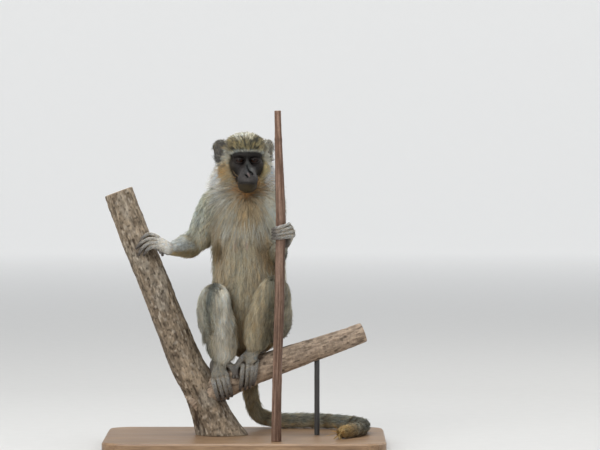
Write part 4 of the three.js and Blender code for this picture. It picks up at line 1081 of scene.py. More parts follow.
# nothing grows where a limb presses on the body
inside = field(face_cen + face_nor * 1.2) < 0.35
weight[inside] = 0
TUFTS = 172000
scale = TUFTS / weight.sum()
print("tufts per mm2 at density 1:", round(scale, 3), "skin area cm2", round(area.sum() / 100))
cum = np.cumsum(weight)
at = (np.arange(TUFTS) + rng.random(TUFTS)) / TUFTS * cum[-1]
tri = np.minimum(np.searchsorted(cum, at), len(T) - 1)
r1, r2 = np.sqrt(rng.random(TUFTS)), rng.random(TUFTS)
bary = np.stack([1 - r1, r1 * (1 - r2), r1 * r2], 1)
root = (V[T[tri]] * bary[:, :, None]).sum(1)
norm = unit((skin_normal[T[tri]] * bary[:, :, None]).sum(1))
tr, which, uv = traits(root, norm)
print("roots and traits", round(time.time() - T0, 1))
n = len(root)
L = tr["length"] * (0.72 + 0.5 * rng.random(n))
flow = tr["flow"]
# tangent to the skin, with a little wander, the same for neighbours
wander = np.stack([noise(root, 9, 60 + i) for i in range(3)], 1)
flow = unit(flow + 0.22 * wander + 0.10 * rng.normal(size=(n, 3)))
flow = flow - (flow * norm).sum(1)[:, None] * norm
# where the coat's direction runs straight off the surface, as at a tail's end, it stands out instead
weak = np.linalg.norm(flow, axis=1) < 0.35
flow = unit(flow)
flow = np.where(weak[:, None], unit(flow * 0.4 + norm * 0.6), flow)
lift = tr["lift"] * (0.9 + 0.2 * rng.random(n))
# an undercoat of shorter, broader, softer tufts fills the gaps between the long ones
under_coat = (rng.random(n) < 0.36) & (L > 12.5)
L = np.where(under_coat, L * 0.62, L)
lift = np.where(under_coat, lift * 0.72, lift)
# a few loose hairs stand out of the coat and break its outline
stray = (rng.random(n) < 0.09) & (L > 9.0) & ~under_coat & (lift < 1.3)
L = np.where(stray, L * 1.3, L)
lift = np.where(stray, lift * (1.15 + 0.35 * rng.random(n)), lift)


def float_to(P, share, along, most):
    """Points pushed along a direction until they lie at a share of the coat's depth."""
    for _ in range(2):
        f = field(P, share)
        P = P - np.clip(f, -most, most)[:, None] * along
    return P


tip = root + flow * L[:, None] + norm * (0.3 * L)[:, None]
tip = float_to(tip, np.clip(lift, 0, 2.0), norm, 14)
# locks: tips drawn towards that of a nearby leader
lead = rng.random(n) < 0.12
ids = np.flatnonzero(lead)
tree = kdtree.KDTree(len(ids))
for k, i in enumerate(ids):
    tree.insert(root[i], k)
tree.balance()
leader = np.fromiter((tree.find(p)[1] for p in root), int, n)
leader = ids[leader]
pull = tr["lock"] * (0.6 + 0.6 * rng.random(n))
same = (norm * norm[leader]).sum(1) > 0.4
near = np.linalg.norm(root - root[leader], axis=1) < 6
pull = np.where(same & near & ~stray, pull, 0)
goal = tip[leader] + (root - root[leader]) * 0.15
tip = tip + (goal - tip) * pull[:, None]
span = np.linalg.norm(tip - root, axis=1)
shrink = np.minimum(1, 1.35 * L / np.maximum(span, 1e-6))
tip = root + (tip - root) * shrink[:, None]
print("tips set", round(time.time() - T0, 1))
base = root - norm * 0.5
mid = root + (tip - root) * 0.45 + norm * (0.11 * np.minimum(L, 14))[:, None]
mid = float_to(mid, np.clip(lift * 0.74, 0, 1.3), norm, 5)
mid2 = root * 0.12 + mid * 0.33 + tip * 0.55 + norm * (0.05 * np.minimum(L, 14))[:, None]
print("mids set", round(time.time() - T0, 1))

# a tuft shows the marking that lies under its outer half, not the one at its root
seen = float_to(root + flow * (L * (0.22 + 0.56 * rng.random(n)))[:, None], 0.0, norm, 6)
tr_c, which_c, _ = traits(seen, norm)
front_of = {"head": "body", "neck": "body", "torso": "body"}
kin = np.array([front_of.get(p.group, p.group) for p in PARTS])
took = kin[which] == kin[which_c]
q0, q1 = to_head(root), to_head(seen)
ear_at = [np.linalg.norm(ear_local(np.abs(w) * [1, 0, 0] + w * [0, 1, 1], w[:, 0] > 0) / [13.5, 6.5, 21], axis=1) < 1.1 for w in (q0, q1)]
took &= ear_at[0] == ear_at[1]
shown = np.where(took[:, None], tr_c["colour"], tr["colour"])
print("colours seen", round(time.time() - T0, 1))

# colours: a darker root, ticked tips where the coat is agouti, and every lock a little different
rough = 0.35 + 0.65 * np.clip(tr["tick"], 0, 1)
lock_tone = 1 + 0.15 * rng.normal(size=n)[leader] * rough
own_tone = 1 + 0.10 * rng.normal(size=n) * rough
tone = np.clip(lock_tone * own_tone, 0.55, 1.5)[:, None]
col = shown * tone * np.where(under_coat, 0.9, 1.0)[:, None]
warmth = 0.05 * rng.normal(size=n)[leader][:, None] * [1, 0, -1.3]
col = np.clip(col * (1 + warmth), 0.004, 0.95)
# painted shade: hair in the creases between limbs and body, and between fingers and toes, is darker and warmer where
# other parts lie close above its root
crease_shade = 1 - np.clip(field(root + norm * 13, 0.0) / 12, 0, 1)
kin_root = kin[which]
crease_shade = crease_shade * np.where(kin_root == "body", np.where(root[:, 2] > 372, 0.15, 1.0), 1.0)
fingers = np.char.startswith(kin_root.astype(str), "hand") | np.char.startswith(kin_root.astype(str), "foot")
crease_shade = np.where(fingers, 1.8 * (1 - np.clip(field(root + norm * 2.8, 0.0) / 2.7, 0, 1)), crease_shade)
col = col * (1 - 0.58 * crease_shade)[:, None] * (1 + crease_shade[:, None] * [0.14, -0.02, -0.24])
tick = tr["tick"]
dark_tip = (rng.random(n) < 0.36 * tick)[:, None]
gold_tip = (rng.random(n) < 0.55 * tick)[:, None] & ~dark_tip
tip_col = np.where(dark_tip, col * 0.22, np.where(gold_tip, col * 1.75 * [1.04, 1.03, 0.86], col * 1.16))
mid_col = np.where(gold_tip, col * 0.66, np.where(dark_tip, col * 0.9, col))
root_col = col * 0.74
root_col, mid_col, tip_col = (np.clip(c, 0.004, 0.92) for c in (root_col, mid_col, tip_col))

# pieces
def piece_of(part):
    g = part.group
    return {"arm_right": "coat_arm_right", "hand_right": "coat_arm_right", "arm_left": "coat_arm_left", "hand_left": "coat_arm_left",
            "leg_right": "coat_leg_right", "foot_right": "coat_leg_right", "leg_left": "coat_leg_left", "foot_left": "coat_leg_left",
            "tail": "coat_tail", "head": "coat_head", "neck": "coat_neck", "torso": "coat_torso"}[g]


piece = np.array([piece_of(p) for p in PARTS])[which]
torso_front = norm[:, 1] < 0.25
piece = np.where(piece == "coat_torso", np.where(torso_front, np.where(root[:, 2] > 316, "coat_chest", "coat_belly"), "coat_back"), piece)
q = to_head(root)
piece = np.where(piece == "coat_head", np.where(q[:, 2] > 4, "coat_crown", "coat_cheeks"), piece)
coat = {}
two_rings = (L > 12.5) & ~under_coat
for name in sorted(set(piece)):
    mine = piece == name
    parts_in = sorted(set(which[mine].tolist()))
    for kind, m in (("", mine & ~two_rings), ("_long", mine & two_rings)):
        m = np.flatnonzero(m)
        if not len(m):
            continue
        cost = 12 if kind else 6
        bands = int(math.ceil(len(m) * cost / 190000))
        for band, m in enumerate(np.array_split(m[np.argsort(-root[m, 2], kind="stable")], bands)):
            place = np.zeros((len(m), 2))
            for k, i in enumerate(parts_in):
                sel = which[m] == i
                corner, size = patch_of(k, len(parts_in))
                place[sel] = corner + (0.01 + 0.98 * uv[m][sel]) * size
            mids = [mid[m], mid2[m]] if kind else [mid[m]]
            cols = [root_col[m], mid_col[m], mid_col[m] * 0.5 + tip_col[m] * 0.5, tip_col[m]] if kind else [root_col[m], mid_col[m], tip_col[m]]
            width = tr["width"][m] * (0.8 + 0.4 * rng.random(len(m))) * (1.12 if kind else np.where(under_coat[m], 1.7, 1.0))
            label = name + kind + ("_%d" % band if bands > 1 else "")
            me = tuft_mesh(label, base[m], mids, tip[m], width, norm[m], cols, place)
            coat[label] = me
            print(label, len(m), "tufts", len(me.polygons), "triangles")
print("tufts made", sum(len(me.polygons) for me in coat.values()), round(time.time() - T0, 1))

# ------------------------------------------------------------------ materials
def material(name, roughness=0.6, specular=0.5, **inputs):
    m = bpy.data.materials.new(name)
    m.use_nodes = True
    b = m.node_tree.nodes["Principled BSDF"]
    b.inputs["Roughness"].default_value = roughness
    b.inputs["Specular IOR Level"].default_value = specular
    for k, v in inputs.items():
        b.inputs[k.replace("_", " ")].default_value = v
    return m, m.node_tree.nodes, m.node_tree.links, b


def node(nodes, kind, **values):
    n = nodes.new(kind)
    for k, v in values.items():
        if hasattr(n, k) and k not in n.inputs:
            setattr(n, k, v)
        else:
            n.inputs[k].default_value = v
    return n


def math_node(nodes, links, op, a, b=0.5, clamp=False):
    n = nodes.new("ShaderNodeMath")
    n.operation, n.use_clamp = op, clamp
    for i, v in enumerate((a, b)):
        if isinstance(v, (int, float)):
            n.inputs[i].default_value = v
        else:
            links.new(v, n.inputs[i])
    return n.outputs[0]


def mul_colour(nodes, links, colour, factor):
    n = nodes.new("ShaderNodeVectorMath")
    n.operation = "SCALE"
    links.new(colour, n.inputs[0])
    if isinstance(factor, (int, float)):
        n.inputs["Scale"].default_value = factor
    else:
        links.new(factor, n.inputs["Scale"])
    return n.outputs[0]


def stretch(nodes, links, scale):
    """Object coordinates in metres, stretched."""
    tc = nodes.new("ShaderNodeTexCoord")
    mp = nodes.new("ShaderNodeMapping")
    mp.inputs["Scale"].default_value = scale
    links.new(tc.outputs["Object"], mp.inputs[0])
    return mp.outputs[0]


def noise_node(nodes, links, vec, scale, detail=4.0, rough=0.55):
    n = nodes.new("ShaderNodeTexNoise")
    n.inputs["Scale"].default_value = scale
    n.inputs["Detail"].default_value = detail
    n.inputs["Roughness"].default_value = rough
    links.new(vec, n.inputs["Vector"])
    return n.outputs["Fac"]


def remap(nodes, links, v, a, b, c, d):
    n = nodes.new("ShaderNodeMapRange")
    for i, x in enumerate((a, b, c, d)):
        n.inputs[i + 1].default_value = x
    links.new(v, n.inputs[0])
    return n.outputs[0]


def bump(nodes, links, shader, height, strength, distance, below=None):
    n = nodes.new("ShaderNodeBump")
    n.inputs["Strength"].default_value = strength
    n.inputs["Distance"].default_value = distance
    links.new(height, n.inputs["Height"])
    if below is not None:
        links.new(below, n.inputs["Normal"])
    if shader is not None:
        links.new(n.outputs[0], shader.inputs["Normal"])
    return n.outputs[0]


def attribute(nodes, name):
    n = nodes.new("ShaderNodeAttribute")
    n.attribute_name = name
    return n


def coat_material():
    m, nodes, links, b = material("fur", 0.62, 0.28)
    at = attribute(nodes, "coat")
    f = noise_node(nodes, links, stretch(nodes, links, (1, 1, 1)), 900, 2.0)
    links.new(mul_colour(nodes, links, at.outputs["Color"], remap(nodes, links, f, 0.3, 0.7, 0.86, 1.14)), b.inputs["Base Color"])
    return m


def skin_material():
    m, nodes, links, b = material("skin", 0.5, 0.3)
    at = attribute(nodes, "tone")
    bare_at = attribute(nodes, "bare")
    v = stretch(nodes, links, (1, 1, 1))
    big = noise_node(nodes, links, v, 160, 5.0, 0.6)
    fine = noise_node(nodes, links, v, 1100, 3.0, 0.6)
    f = math_node(nodes, links, "MULTIPLY", remap(nodes, links, big, 0.3, 0.7, 0.78, 1.22), remap(nodes, links, fine, 0.3, 0.7, 0.85, 1.15))
    links.new(mul_colour(nodes, links, at.outputs["Color"], f), b.inputs["Base Color"])
    rough = remap(nodes, links, bare_at.outputs["Fac"], 0.0, 1.0, 0.85, 0.52)
    # black skin reflects less than grey
    links.new(remap(nodes, links, at.outputs["Fac"], 0.004, 0.05, 0.13, 0.3), b.inputs["Specular IOR Level"])
    links.new(math_node(nodes, links, "ADD", rough, math_node(nodes, links, "MULTIPLY", math_node(nodes, links, "SUBTRACT", big, 0.5), 0.25), True), b.inputs["Roughness"])
    vor = nodes.new("ShaderNodeTexVoronoi")
    vor.feature = "DISTANCE_TO_EDGE"
    vor.inputs["Scale"].default_value = 900
    links.new(v, vor.inputs["Vector"])
    cell = remap(nodes, links, vor.outputs["Distance"], 0.0, 0.12, 0.0, 1.0)
    lines = noise_node(nodes, links, stretch(nodes, links, (260, 700, 900)), 1.0, 3.0)
    h = bump(nodes, links, None, cell, 0.35, 0.00025)
    h = bump(nodes, links, None, fine, 0.5, 0.0003, h)
    bump(nodes, links, b, lines, 0.35, 0.0005, h)
    return m


def eye_material():
    m, nodes, links, b = material("eye", 0.22, 0.14, Coat_Weight=0.08, Coat_Roughness=0.08)
    at = attribute(nodes, "tone")
    f = noise_node(nodes, links, stretch(nodes, links, (1, 1, 1)), 1400, 3.0)
    links.new(mul_colour(nodes, links, at.outputs["Color"], remap(nodes, links, f, 0.3, 0.7, 0.8, 1.2)), b.inputs["Base Color"])
    return m


def nail_material():
    m, nodes, links, b = material("nail", 0.32, 0.5)
    f = noise_node(nodes, links, stretch(nodes, links, (1, 1, 1)), 900, 3.0)
    r = nodes.new("ShaderNodeValToRGB")
    r.color_ramp.elements[0].color = (0.018, 0.014, 0.011, 1)
    r.color_ramp.elements[1].color = (0.075, 0.058, 0.044, 1)
    links.new(f, r.inputs[0])
    links.new(r.outputs[0], b.inputs["Base Color"])
    bump(nodes, links, b, f, 0.2, 0.0002)
    return m


def wood_material(name, attr=True, rough=0.75, fine=700, depth=0.0004):
    """Bark and cut wood: its colours come with the mesh, its grain and pits from noise."""
    m, nodes, links, b = material(name, rough, 0.3)
    at = attribute(nodes, "tone")
    v = stretch(nodes, links, (1, 1, 0.35))
    a1 = noise_node(nodes, links, v, fine, 4.0, 0.65)
    a2 = noise_node(nodes, links, v, fine * 0.2, 4.0, 0.6)
    f = math_node(nodes, links, "MULTIPLY", remap(nodes, links, a1, 0.3, 0.7, 0.75, 1.25), remap(nodes, links, a2, 0.3, 0.7, 0.8, 1.2))
    links.new(mul_colour(nodes, links, at.outputs["Color"], f), b.inputs["Base Color"])
    h = bump(nodes, links, None, a2, 0.6, depth * 2)
    bump(nodes, links, b, a1, 0.6, depth, h)
    return m


def board_material():
    """A plain oiled board: long grain along its length, pores and a soft satin finish."""
    m, nodes, links, b = material("board", 0.42, 0.4)
    v = stretch(nodes, links, (3, 26, 26))
    warp = noise_node(nodes, links, stretch(nodes, links, (1.5, 7, 7)), 3.0, 3.0)
    grain = noise_node(nodes, links, v, 4.0, 6.0, 0.65)
    pores = noise_node(nodes, links, stretch(nodes, links, (30, 700, 700)), 1.0, 3.0, 0.7)
    s = math_node(nodes, links, "ADD", math_node(nodes, links, "MULTIPLY", grain, 0.65), math_node(nodes, links, "MULTIPLY", warp, 0.35))
    r = nodes.new("ShaderNodeValToRGB")
    e = r.color_ramp.elements
    e[0].position, e[0].color = 0.34, (0.17, 0.095, 0.05, 1)
    e[1].position, e[1].color = 0.66, (0.36, 0.23, 0.13, 1)
    links.new(s, r.inputs[0])
    links.new(mul_colour(nodes, links, r.outputs[0], remap(nodes, links, pores, 0.35, 0.55, 0.72, 1.05)), b.inputs["Base Color"])
    links.new(remap(nodes, links, grain, 0.3, 0.7, 0.36, 0.52), b.inputs["Roughness"])
    bump(nodes, links, b, pores, 0.25, 0.0003)
    return m


def steel_material():
    m, nodes, links, b = material("rod_paint", 0.4, 0.5)
    f = noise_node(nodes, links, stretch(nodes, links, (1, 1, 1)), 1500, 2.0)
    g = noise_node(nodes, links, stretch(nodes, links, (1, 1, 1)), 60, 3.0)
    r = nodes.new("ShaderNodeValToRGB")
    r.color_ramp.elements[0].color = (0.028, 0.027, 0.026, 1)
    r.color_ramp.elements[1].color = (0.05, 0.048, 0.046, 1)
    links.new(g, r.inputs[0])
    links.new(r.outputs[0], b.inputs["Base Color"])
    bump(nodes, links, b, f, 0.25, 0.0002)
    return m


def colour_layer(me, name, C):
    layer = me.attributes.new(name, "FLOAT_COLOR", "POINT")
    layer.data.foreach_set("color", np.column_stack([np.clip(C, 0, 1), np.ones(len(C))]).astype(np.float32).ravel())


# ------------------------------------------------------------------ the skin's colours
tr_s, which_s, uv_s = traits(V, skin_normal)
names = np.array([p.name for p in PARTS])[which_s]
groups = np.array([p.group for p in PARTS])[which_s]
q = to_head(V)
x, y, z = q.T
ax = np.abs(x)
under = tr_s["colour"] * 0.72
under = under * (1 - 0.75 * (1 - step(face_edge(q), 1.0, 7.0)) * (groups == "head"))[:, None]
# the face: black, greyer on the muzzle, browner at the sides and chin
face_c = BARE * 0.62 * (1 + 0.0 * x)[:, None]
face_c = mix(face_c, rgb(0.0125, 0.011, 0.0098), step(z, 1, 7) * 0.9)
face_c = mix(face_c, rgb(0.018, 0.023, 0.020), hump(x, 0, 5) * hump(z, -5, 7) * 0.9)
# the muzzle's grey is partly its own colour and partly a painted sheen
face_c = mix(face_c, rgb(0.066, 0.059, 0.057), hump(x, 0, 13) * step(-y, 14, 26) * (1 - step(-z, 24, 31)) * step(-z, 4, 14))
face_c = mix(face_c, rgb(0.020, 0.021, 0.021), hump(x, 0, 8) * hump(z, -11, 7) * step(-y, 18, 29) * 0.9)
face_c = mix(face_c, rgb(0.035, 0.024, 0.0105), step(-z, 28, 34))
face_c = mix(face_c, rgb(0.024, 0.019, 0.0135), step(ax, 15, 22) * step(z + 40, 0, 10) * (1 - step(z, 0, 6)) * 0.8)
face_c = mix(face_c, rgb(0.028, 0.0165, 0.014), hump(ax, 10.4, 8) * hump(z, -0.5, 6) * 0.7)
# painted shade: the furrow and the nostrils are painted black; the skin between them is pink
front = step(-y, 20, 27)
# painted highlight: a light grey spot on the nose beside the furrow
face_c = mix(face_c, rgb(0.10, 0.105, 0.10), hump(x, 6.4, 2.6) * hump(z, -9.0, 3.0) * front * 0.6)
face_c = mix(face_c, rgb(0.17, 0.125, 0.12), along_line(x, z, SEPTUM, 1.1) * front * 0.9)
face_c = mix(face_c, rgb(0.003, 0.003, 0.003), along_line(x, z, FURROW, 1.25) * step(-y, 10, 15))
for slit in NOSTRILS:
    face_c = mix(face_c, rgb(0.003, 0.003, 0.003), along_line(x, z, slit, 1.05) * front * 0.95)
e = ear_local(np.stack([ax, y, z], 1), x > 0)
on_ear = step(-np.linalg.norm(e / [14, 7.5, 20], axis=1), -1.15, -0.98)
ear_c = mix(mix(rgb(0.046, 0.042, 0.038), rgb(0.085, 0.077, 0.068), (x > 0) * 1.0), rgb(0.033, 0.029, 0.026), step(e[:, 1], -1, 1))
ear_c = mix(ear_c, rgb(0.08, 0.066, 0.058), step(-np.linalg.norm(e[:, ::2] / [7, 11], axis=1), -1, -0.4) * 0.5)
bare_s = np.maximum(bare(V, skin_normal, which_s), 0)
head_m = groups == "head"
tone = under
tone = mix(tone, face_c, bare_s * head_m * (1 - on_ear))
tone = mix(tone, ear_c, on_ear * head_m)
limb = np.char.startswith(groups.astype(str), "hand") | np.char.startswith(groups.astype(str), "foot")
paw = rgb(0.105, 0.092, 0.08) * (1 + 0.15 * fractal(V, (5, 5, 5), 77, 2))[:, None]
furry = np.clip(tr_s["dense"] / 0.7, 0, 1)
tone = np.where(limb[:, None], mix(paw, tr_s["colour"] * 0.4, furry * 0.7), tone)
# painted shade: grooves between fingers, toes and folds of the bare skin are darker where other skin lies close above
# them
groove_shade = 1 - np.clip(field(V + skin_normal * 2.6, 0.0) / 2.5, 0, 1)
tone = tone * (1 - 0.9 * groove_shade * (limb | (bare_s > 0.5)))[:, None]
bare_s = np.where(limb, 1 - furry, np.maximum(bare_s, on_ear * head_m * 0.8))
skin_out = mesh_of("skin", V * MM, T)
colour_layer(skin_out, "tone", tone)
layer = skin_out.attributes.new("bare", "FLOAT", "POINT")
layer.data.foreach_set("value", bare_s.astype(np.float32))
skin = add("skin", skin_out, skin_material())

fur = coat_material()
coats = []
for name, me in coat.items():
    coats.append(add(name, me, fur))


# ------------------------------------------------------------------ eyes
def eye_mesh(side):
    """A ball with a raised cornea, its rings running round the line of sight."""
    centre = from_head(np.array([[side * EYE_HALF_GAP, 0, 0]]))[0]
    sight = unit(np.array([60.0, -6000, 560]) - centre)
    s = unit(np.cross(sight, [0, 0, 1.0]))
    u = np.cross(s, sight)
    r = EYE_RADIUS - 0.15
    angles = np.concatenate([np.linspace(0, 14, 8)[1:], np.linspace(14, 36, 14)[1:], np.linspace(36, 46, 7)[1:], np.linspace(46, 180, 16)[1:]])
    m = 56
    P, C = [centre + sight * (r + 0.55)], [[0.0025, 0.002, 0.002]]
    turn = np.arange(m) / m * 2 * math.pi
    fibre = fractal(np.stack([np.cos(turn) * 6, np.sin(turn) * 6, np.zeros(m)], 1), (0.9, 0.9, 1), 90 + side, 3)
    for a in angles:
        t = math.radians(a)
        bulge = 0.55 * max(0.0, 1 - (a / 42) ** 2) ** 1.2
        rr = r + bulge
        if a == angles[-1]:
            P.append(centre - sight * r)
            C.append([0.05, 0.03, 0.025])
            break
        ring = centre + rr * (math.cos(t) * sight + math.sin(t) * (np.cos(turn)[:, None] * s + np.sin(turn)[:, None] * u))
        P.extend(ring)
        pupil = step(np.array([a]), 12.5, 14.5)[0]
        rim = step(np.array([a]), 31, 36)[0]
        white = step(np.array([a]), 37, 46)[0]
        # painted shade: iris and white are darker than their own colour, for the hollow under the brow the eyes sit in
        iris = np.array([0.021, 0.0085, 0.0045]) * (1 + 0.45 * fibre[:, None]) * (0.75 + 0.5 * hump(a, 21, 6))
        c = np.array([0.0025, 0.002, 0.002]) * (1 - pupil) + iris * pupil
        c = c * (1 - rim) + np.array([0.010, 0.006, 0.004]) * rim
        c = c * (1 - white) + np.array([0.014, 0.009, 0.007]) * white
        C.extend(np.broadcast_to(c, (m, 3)))
    rings = len(angles) - 1
    F = []
    for i in range(m):
        k = (i + 1) % m
        F.append([0, 1 + i, 1 + k])
        for j in range(rings - 1):
            a, b = 1 + j * m, 1 + (j + 1) * m
            F += [[a + i, b + i, b + k], [a + i, b + k, a + k]]
        F.append([1 + rings * m, 1 + (rings - 1) * m + k, 1 + (rings - 1) * m + i])
    me = mesh_of("eyeball", np.array(P) * MM, np.array(F))
    colour_layer(me, "tone", np.array(C))
    return me


eye_mat = eye_material()
eyes = {"right": add("eyeball_right", eye_mesh(-1), eye_mat), "left": add("eyeball_left", eye_mesh(1), eye_mat)}


# ------------------------------------------------------------------ nails
def nail(P, T_, up, w, length):
    """A curved plate over a fingertip: its root sunk in the skin, its free edge rounded and a little proud."""
    side = unit(np.cross(T_, up))
    rows, cols = 7, 9
    V_, F = [], []
    for layer_ in (0, 1):
        for i in range(rows):
            t = i / (rows - 1)
            half = w * (0.80 + 0.2 * math.sin(min(t * 1.6, 1) * math.pi / 2)) * (1.0 if t < 0.7 else math.sqrt(max(1 - ((t - 0.7) / 0.34) ** 2, 0.05)))
            for j in range(cols):
                u = -1 + 2 * j / (cols - 1)
                ang = u * 1.15
                x_ = math.sin(ang) / math.sin(1.15) * half
                h_ = (math.cos(ang) - math.cos(1.15)) * w * 0.95 - 0.35 + 0.5 * math.sin(t * math.pi) + (0.25 * t)
                d = 0.0 if layer_ == 0 else -0.45
                V_.append(P + side * x_ + up * (h_ + d) + T_ * (t * length))
    n_ = rows * cols
    for i in range(rows - 1):
        for j in range(cols - 1):
            a = i * cols + j
            F += [[a, a + 1, a + cols + 1], [a, a + cols + 1, a + cols]]
            F += [[n_ + a, n_ + a + cols + 1, n_ + a + 1], [n_ + a, n_ + a + cols, n_ + a + cols + 1]]
    rim = [j for j in range(cols)] + [i * cols + cols - 1 for i in range(1, rows)] + [(rows - 1) * cols + j for j in range(cols - 2, -1, -1)] + [i * cols for i in range(rows - 2, 0, -1)]
    for a, b in zip(rim, rim[1:] + rim[:1]):
        F += [[a, n_ + a, n_ + b], [a, n_ + b, b]]
    return np.array(V_), np.array(F)


NV_, NF_ = [], []
count = 0
for p in PARTS:
    if not p.name.startswith(("finger", "toe")):
        continue
    tip_at, along = p.C[-1], p.T[-1]
    w = p.Z[-1, 0] - p.Z[-1, 2]
    out, _ = grip_side(tip_at[None])
    up = unit(out[0] - (out[0] @ along) * along)
    start = tip_at - along * (w * 0.75) + up * (w * 0.62)
    v, f = nail(start, along, up, w * 0.80, w * 1.75)
    NV_.append(v)
    NF_.append(f + count)
    count += len(v)
nails_mesh = mesh_of("nails", np.vstack(NV_) * MM, np.vstack(NF_))
nails = add("nails", nails_mesh, nail_material())


# ------------------------------------------------------------------ the perch
def perch_mesh(name, loft, around, spacing, relief, colour, ends, cut=None):
    n_ = max(4, int(loft.L[-1] / spacing))
    xs = np.linspace(0, loft.L[-1], n_ + 1)
    f = np.interp(xs, loft.L, np.arange(len(loft.L)))
    i = np.minimum(f.astype(int), len(loft.L) - 2)
    t = (f - i)[:, None]
    lerp = lambda A: A[i] * (1 - t) + A[i + 1] * t
    C_, S_, D_, T_, Z_ = lerp(loft.C), unit(lerp(loft.S)), unit(lerp(loft.D)), unit(lerp(loft.T)), lerp(loft.Z)
    ang = np.arange(around) / around * 2 * math.pi
    R = Z_[:, :1]
    ring = np.cos(ang)[None, :, None] * S_[:, None] + np.sin(ang)[None, :, None] * D_[:, None]
    # coordinates in which the relief is drawn: round the log and along it
    K = np.stack([np.cos(ang)[None] * R, np.sin(ang)[None] * R, np.repeat(xs[:, None], around, 1)], -1).reshape(-1, 3)
    h, c = relief(K), None
    edge = np.minimum(xs, loft.L[-1] - xs)[:, None]
    soft = 1 - np.clip(1 - edge / 1.2, 0, 1) ** 2 * 0.035
    P = C_[:, None] + ring * ((R * soft) + h.reshape(n_ + 1, around))[:, :, None]
    V_ = [P.reshape(-1, 3)]
    col = [colour(K, h)]
    F = []
    a = (np.arange(n_)[:, None] * around + np.arange(around)[None])
    b = (np.arange(n_)[:, None] * around + (np.arange(around)[None] + 1) % around)
    F.append(np.stack([a, b, b + around], -1).reshape(-1, 3))
    F.append(np.stack([a, b + around, a + around], -1).reshape(-1, 3))
    base_ = len(V_[0])
    for end, row in ((0, 0), (1, n_)):
        rim = row * around + np.arange(around)
        prev = rim
        rings = 6
        for k in range(1, rings + 1):
            s_ = 1 - k / rings
            if k < rings:
                pts = C_[row] + (P[row] - C_[row]) * s_ + T_[row] * (0.35 * math.sin(k * 2.2) * (1 if end else -1))
                V_.append(pts)
                col.append(ends(np.full(around, s_), ang))
                cur = base_ + np.arange(around)
                base_ += around
                q_ = np.roll(prev, -1), np.roll(cur, -1)
                quad = [np.stack([prev, q_[0], q_[1]], 1), np.stack([prev, q_[1], cur], 1)]
                F += [x_ if end else x_[:, ::-1] for x_ in quad]
                prev = cur
            else:
                V_.append(C_[row][None])
                col.append(ends(np.zeros(1), ang[:1]))
                tri_ = np.stack([prev, np.roll(prev, -1), np.full(around, base_)], 1)
                F.append(tri_ if end else tri_[:, ::-1])
                base_ += 1
    me = mesh_of(name, np.vstack(V_) * MM, np.vstack(F))
    colour_layer(me, "tone", np.vstack(col))
    bm = bmesh.new()
    bm.from_mesh(me)
    if cut is not None:
        bmesh.ops.bisect_plane(bm, geom=bm.verts[:] + bm.edges[:] + bm.faces[:], plane_co=(0, 0, cut * MM), plane_no=(0, 0, 1), clear_inner=True)
        bmesh.ops.holes_fill(bm, edges=[e_ for e_ in bm.edges if e_.is_boundary])
    bmesh.ops.recalc_face_normals(bm, faces=bm.faces[:])
    bm.to_mesh(me)
    bm.free()
    me.polygons.foreach_set("use_smooth", np.ones(len(me.polygons), bool))
    return me


def trunk_relief(K):
    plates = 1 - np.abs(fractal(K, (7, 7, 26), 201, 3)) * 2.2
    return -1.2 + 1.15 * np.clip(plates, -1, 1) + 0.7 * fractal(K, (2.4, 2.4, 5), 205, 3) + 0.9 * noise(K, (30, 30, 60), 206)


def trunk_colour(K, h):
    t = np.clip((h + 2.2) / 2.6, 0, 1)
    c = mix(rgb(0.05, 0.032, 0.019), rgb(0.34, 0.265, 0.185), t**1.25)
    g = step(fractal(K, (24, 24, 40), 210, 3), 0.05, 0.5)
    c = mix(c, rgb(0.37, 0.34, 0.285), g * 0.55 * t)
    pit = step(noise(K, (2.2, 2.2, 3.6), 214), 0.25, 0.6)
    c = mix(c, rgb(0.035, 0.022, 0.013), pit * 0.75)
    fleck = step(noise(K, (3.0, 3.0, 5.5), 216), 0.35, 0.7)
    c = mix(c, rgb(0.52, 0.45, 0.36), fleck * 0.5)
    return c * (0.86 + 0.42 * fractal(K, (3, 3, 6), 212, 2))[:, None]


def branch_relief(K):
    return -0.8 + 0.9 * (1 - 2 * np.abs(fractal(K, (5, 5, 18), 221, 3))) + 0.4 * fractal(K, (2, 2, 3.5), 225, 2)


def branch_colour(K, h):
    t = np.clip((h + 1.8) / 2.2, 0, 1)
    c = mix(rgb(0.085, 0.052, 0.032), rgb(0.42, 0.325, 0.24), t**1.2)
    c = mix(c, rgb(0.04, 0.026, 0.016), step(noise(K, (1.9, 1.9, 7), 229), 0.3, 0.65) * 0.7)
    return c * (1 + 0.36 * fractal(K, (3, 3, 9), 228, 2))[:, None]


def stem_relief(K):
    knots = sum(0.5 * hump(K[:, 2], at_, 4) for at_ in (96, 214, 331, 452))
    return -0.15 + 0.22 * fractal(K, (1.6, 1.6, 40), 231, 2) + knots * 0.8 + 0.12 * fractal(K, (1.2, 1.2, 3), 235, 2)


def stem_colour(K, h):
    c = mix(rgb(0.095, 0.05, 0.031), rgb(0.215, 0.135, 0.097), step(fractal(K, (1.8, 1.8, 55), 241, 3), -0.3, 0.4))
    c = c * (1 + 0.3 * step(K[:, 2], 330, 450))[:, None]
    lenticel = step(noise(K, (1.1, 1.1, 1.8), 245), 0.62, 0.8) * step(noise(K, (9, 9, 14), 246), -0.1, 0.5)
    c = mix(c, rgb(0.06, 0.035, 0.024), lenticel * 0.8)
    c = mix(c, rgb(0.13, 0.075, 0.05), hump(K[:, 2], 452, 3) * 0.6 + hump(K[:, 2], 331, 3) * 0.5 + hump(K[:, 2], 214, 3) * 0.5)
    return c * (1 + 0.12 * fractal(K, (3, 3, 12), 248, 2))[:, None]


